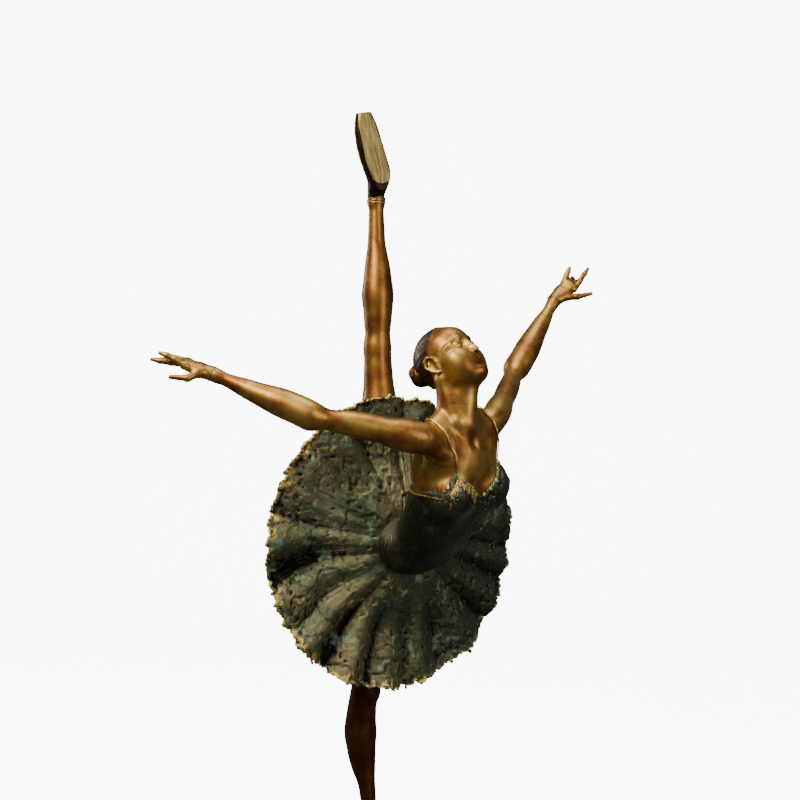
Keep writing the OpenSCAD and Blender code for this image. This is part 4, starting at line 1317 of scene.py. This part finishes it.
def makeShoe(name, ankle, toe, sole):
    axes, reach = shoeFrame(ankle, toe, sole)
    block = around([ankle, toe, ankle + axes[0] * 14], 14)
    shares, depths = zip(*shoeShape["soleAt"])

    def flat(clay, extra, sign):
        down = onward(*grid(clay), ankle, axes[0])
        along = onward(*grid(clay), ankle, axes[2]) / reach
        shave(clay, (down - np.interp(along, shares, depths) - extra) * sign)

    clay = clayBlock(*block, 0.45)
    shoeClay(clay, ankle, axes, reach)
    flat(clay, 0, 1)
    trim(clay, toe - axes[2] * shoeShape["toeDrop"], axes[2])
    trim(clay, ankle + axes[2] * 0.04 * reach, -axes[2] + axes[0] * 0.25)
    points, faces = fired(clay, 3)
    down, aside, run = ((points - ankle) @ axes.T).T
    along = run / reach
    # satin pulled into small pleats round the heel and under the instep
    pull = np.exp(-((along - 0.36) / 0.12) ** 2) * ramp(down, -6, 4)
    pleats = 0.3 * pull * wobble(np.stack([run / 2.4 + aside / 7, along * 0, along * 0], 1), 1, 52)
    seam = -0.3 * np.exp(-((down + 2 + 8 * (along - 0.45)) / 0.7) ** 2) * ramp(along, 0.1, 0.2)
    points = pushed(points, faces, pleats + seam)
    finish(name, points, faces, shoeBronze, "shoe_bronze", name, 8)

    clay = clayBlock(*block, 0.45)
    shoeClay(clay, ankle, axes, reach, 0.25)
    flat(clay, shoeShape["soleThick"], 1)
    flat(clay, -1.2, -1)
    # the sole ends in a half round at the heel
    heel = ankle + axes[1] * 3 + axes[2] * 0.34 * reach
    aside, along = (onward(*grid(clay), heel, way) for way in axes[1:])
    shave(clay, np.hypot(np.minimum(along, 0), aside) - shoeShape["heel"])
    trim(clay, toe - axes[2] * (shoeShape["toeDrop"] + 0.6), axes[2])
    points, faces = fired(clay, 2)
    down, aside, run = ((points - ankle) @ axes.T).T
    streaks = 0.12 * wobble(np.stack([aside / 1.6, run / 14, 0 * aside], 1), 1, 51)
    finish(name + "_sole", pushed(points, faces, streaks), faces, soleBronze, "shoe_bronze", name, 8)


makeShoe("raised_shoe", joint["highAnkle"], joint["highToe"], soleWay)
makeShoe("standing_shoe", joint["lowAnkle"], joint["toe"], -toeFront)


def ribbonRing(centre, axis, radius, tilt, way):
    # a loop round the ankle, tipped by tilt mm towards one side
    side = unit(np.cross(axis, way))
    front = unit(np.cross(side, axis))
    turn = np.linspace(0, 2 * math.pi, 72, endpoint=False)
    return [centre + radius * (side * math.cos(a) + front * math.sin(a)) + axis * tilt * math.sin(a)
            for a in turn]


for side, key, way in (("raised", "high", soleWay), ("standing", "low", toeFront)):
    ankle, knee = joint[key + "Ankle"], joint[key + "Knee"]
    axis = unit(knee - ankle)
    rings = [ribbonRing(ankle - axis * drop, axis, radius, tilt, way)
             for drop, radius, tilt in ((2.2, 7.3, -1.6), (0.6, 7.2, -1.2), (0.2, 7.3, 1.2))]
    makeCords(side + "_ribbon", rings, 0.75, laceBronze, side + "_ribbon", True)


# hips
def addHips(clay):
    seat = mix(joint["lowHip"], joint["highHip"], 0.5)
    add(clay, bar(joint["waist"], mix(joint["waist"], seat, 0.8), 21.5, 21), 0)
    add(clay, egg(mix(joint["waist"], seat, 0.2), (26, 20, 14), np.array([across, up, out])), 6)
    add(clay, bar(seat, joint["lowHip"] - up * 12, 20, 17.8), 10)
    add(clay, bar(seat, joint["highHip"] + up * 12, 18, 16), 10)
    for s in (-1, 1):
        add(clay, egg(seat - out * 10 + across * 9 * s, (11, 15, 11), np.array([across, up, out])), 9)


clay = clayBlock(*around([joint["waist"], joint["lowHip"], joint["highHip"]], 30), 0.8)
addHips(clay)
trim(clay, joint["waist"] - out * 2, out)
trim(clay, joint["lowHip"], -unit(joint["lowHip"] - joint["lowKnee"]), lap)
trim(clay, joint["highHip"], -unit(joint["highHip"] - joint["highKnee"]), lap)
points, faces = fired(clay, 3)
points = pushed(points, faces, 0.25 * wobble(points, 4, 61))
finish("hips", points, faces, darkBronze, "dark_bronze", "pelvis")


# base and fixings: the CAD parts keep their shape and take real surfaces
def marbleSlab():
    # polished black marble: near-black stone, thin grey-white veins, a deep even gloss
    material, tree = newMaterial("polishedBlackMarble")
    spot = addNode(tree, "ShaderNodeTexCoord").outputs["Object"]
    drift, broken, fine = (
        addNode(tree, "ShaderNodeTexNoise", {"Vector": spot, "Scale": scale, "Detail": detail})
        for scale, detail in ((9.0, 5.0), (22.0, 3.0), (900.0, 2.0))
    )
    bent = addNode(tree, "ShaderNodeVectorMath", {0: drift.outputs["Color"], "Scale": 0.14},
                   operation="SCALE")
    warped = addNode(tree, "ShaderNodeVectorMath", {0: spot, 1: bent.outputs[0]}, operation="ADD")
    vein = addNode(tree, "ShaderNodeTexVoronoi", {"Vector": warped.outputs[0], "Scale": 16.0},
                   feature="DISTANCE_TO_EDGE")
    # what is read, where it starts and ends, and what it gives at both
    thin, shown, cloudy, rough = (
        addNode(tree, "ShaderNodeMapRange", {
            "Value": drive, "From Min": low, "From Max": high, "To Min": atLow, "To Max": atHigh,
        }, interpolation_type="SMOOTHSTEP").outputs["Result"]
        for drive, low, high, atLow, atHigh in (
            (vein.outputs["Distance"], 0.0, 0.035, 1.0, 0.0), (broken.outputs["Fac"], 0.48, 0.66, 0.0, 1.0),
            (drift.outputs["Fac"], 0.35, 0.7, 0.0, 1.0), (broken.outputs["Fac"], 0.3, 0.7, 0.06, 0.14))
    )
    veined = addNode(tree, "ShaderNodeMath", {0: thin, 1: shown}, operation="MULTIPLY").outputs[0]
    stone = addNode(tree, "ShaderNodeMix", {0: cloudy, 6: "#0B0B0D", 7: "#1D1D20"}, data_type="RGBA")
    colour = addNode(tree, "ShaderNodeMix", {0: veined, 6: stone.outputs[2], 7: "#9A9890"}, data_type="RGBA")
    bump = addNode(tree, "ShaderNodeBump", {"Height": fine.outputs["Fac"], "Strength": 0.03,
                                            "Distance": 0.0002})
    shader = addNode(tree, "ShaderNodeBsdfPrincipled", {
        "Base Color": colour.outputs[2], "Roughness": rough, "Normal": bump.outputs[0], "IOR": 1.5,
        "Coat Weight": 0.4, "Coat Roughness": 0.05})
    addNode(tree, "ShaderNodeOutputMaterial", {"Surface": shader.outputs[0]})
    return material


def feltPad():
    # pressed wool felt: matt, fibrous, slightly uneven green
    material, tree = newMaterial("pressedWoolFelt")
    spot = addNode(tree, "ShaderNodeTexCoord").outputs["Object"]
    fibre = addNode(tree, "ShaderNodeTexNoise", {
        "Vector": spot, "Scale": 1400.0, "Detail": 5.0, "Distortion": 1.5}).outputs["Fac"]
    patch = addNode(tree, "ShaderNodeTexNoise", {"Vector": spot, "Scale": 60.0, "Detail": 3.0}).outputs["Fac"]
    # what is read, where it starts and ends, and what it gives at both
    woolly, patchy, rough = (
        addNode(tree, "ShaderNodeMapRange", {
            "Value": drive, "From Min": low, "From Max": 0.7, "To Min": atLow, "To Max": atHigh,
        }, interpolation_type="SMOOTHSTEP").outputs["Result"]
        for drive, low, atLow, atHigh in (
            (fibre, 0.3, 0.0, 1.0), (patch, 0.4, 0.0, 0.4), (fibre, 0.3, 0.85, 1.0))
    )
    shade = addNode(tree, "ShaderNodeMix", {0: woolly, 6: "#1C3A27", 7: "#2F5A3E"}, data_type="RGBA")
    colour = addNode(tree, "ShaderNodeMix", {0: patchy, 6: shade.outputs[2], 7: "#24452F"}, data_type="RGBA")
    bump = addNode(tree, "ShaderNodeBump", {"Height": fibre, "Strength": 0.6, "Distance": 0.0005})
    shader = addNode(tree, "ShaderNodeBsdfPrincipled", {
        "Base Color": colour.outputs[2], "Roughness": rough, "Normal": bump.outputs[0],
        "Sheen Weight": 0.4, "Sheen Roughness": 0.6})
    addNode(tree, "ShaderNodeOutputMaterial", {"Surface": shader.outputs[0]})
    return material


steelLook = dict(skinLook, colour="#A7A9A8", shade="#8C8F90", deep="#3C3A36", bright="#D5D6D4", mottle=9,
                 grain=0.5, gloss=(0.28, 0.45), wax=0.0, metal=1.0, bump=0.2)
plateLook = dict(darkLook, gloss=(0.35, 0.5), bump=0.4)
fixingSteel = castBronze("zincPlatedSteel", steelLook)
keptParts = {
    "marble_base": marbleSlab(),
    "base_felt": feltPad(),
    "toe_plate": castBronze("rubbedPlateBronze", plateLook),
}
for node in ("base_stud", "stud_washer", "stud_nut", "leg_armature", "skirt_pins", "neck_dowel",
             "shoulder_dowels", "wrist_dowels", "hip_dowel", "raised_ankle_dowel"):
    keptParts[node] = fixingSteel
for node, material in keptParts.items():
    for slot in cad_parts[node].material_slots:
        slot.material = material
print("kept CAD parts have their surfaces")


# floor, light and camera
stageShape = {"reach": 1.4, "rise": 1.6, "bend": 0.5, "halfWidth": 4.0, "glow": 9.0}   # metres


def plainPaper():
    # seamless studio paper: matt and near white
    material, tree = newMaterial("seamlessPaper")
    shader = addNode(tree, "ShaderNodeBsdfPrincipled", {"Base Color": "#F4F3F1", "Roughness": 0.9})
    glow = addNode(tree, "ShaderNodeEmission", {"Color": "#FFFFFF", "Strength": stageShape["glow"]})
    both = addNode(tree, "ShaderNodeAddShader", {0: shader.outputs[0], 1: glow.outputs[0]})
    addNode(tree, "ShaderNodeOutputMaterial", {"Surface": both.outputs[0]})
    return material


def makeStage():
    reach, bend = stageShape["reach"], stageShape["bend"]
    # a flat sheet that bends up behind the figure
    profile = [(-reach * 1.6, 0)]
    profile += [(reach + bend * math.sin(a), bend - bend * math.cos(a))
                for a in np.linspace(0, math.pi / 2, 17)]
    profile.append((reach + bend, bend + stageShape["rise"]))
    width = stageShape["halfWidth"]
    points = [(x, y, z) for y, z in profile for x in (-width, width)]
    faces = [(2 * i, 2 * i + 1, 2 * i + 3, 2 * i + 2) for i in range(len(profile) - 1)]
    mesh = bpy.data.meshes.new("studioFloor")
    mesh.from_pydata(points, [], faces)
    mesh.shade_smooth()
    mesh.materials.append(plainPaper())
    floor = bpy.data.objects.new("studioFloor", mesh)
    bpy.context.scene.collection.objects.link(floor)
    floor.visible_glossy = False
    floor.visible_diffuse = False


def areaLight(name, spot, size, power, colour):
    lamp = bpy.data.lights.new(name, "AREA")
    lamp.shape = "RECTANGLE"
    lamp.size, lamp.size_y = size
    lamp.energy = power
    lamp.color = hexColour(colour)[:3]
    holder = bpy.data.objects.new(name, lamp)
    holder.location = spot
    holder.rotation_euler = (Vector(figureAim) - Vector(spot)).to_track_quat("-Z", "Y").to_euler()
    bpy.context.scene.collection.objects.link(holder)


makeStage()
figureAim = (0.03, -0.03, 0.42)
softboxes = {
    # where it stands and its size, in metres, its watts and its colour
    "keySoftbox": ((-0.75, -1.0, 1.45), (0.6, 0.6), 40, "#FFF4E2"),
    "fillSoftbox": ((1.1, -1.2, 0.7), (0.4, 0.8), 11, "#FFFFFF"),
    "rimSoftbox": ((-1.1, 0.7, 0.9), (0.3, 0.9), 8, "#FFFFFF"),
    "topSoftbox": ((0.1, -0.2, 1.8), (0.8, 0.8), 14, "#FFFFFF"),
}
for name, (spot, size, power, colour) in softboxes.items():
    areaLight(name, spot, size, power, colour)

world = bpy.data.worlds.new("studio")
world.use_nodes = True
bpy.context.scene.world = world
background = world.node_tree.nodes["Background"].inputs
background["Color"].default_value = hexColour("#E2E4E8")
background["Strength"].default_value = 0.16

cameraShape = {"spot": (0.016, -1.112, 0.445), "lens": 61.9, "sensor": 36}   # metres, then millimetres
camera = bpy.data.objects.new("camera", bpy.data.cameras.new("camera"))
camera.location = cameraShape["spot"]
camera.rotation_euler = (math.pi / 2, 0, 0)
camera.data.lens = cameraShape["lens"]
camera.data.sensor_width = cameraShape["sensor"]
bpy.context.scene.collection.objects.link(camera)
bpy.context.scene.camera = camera
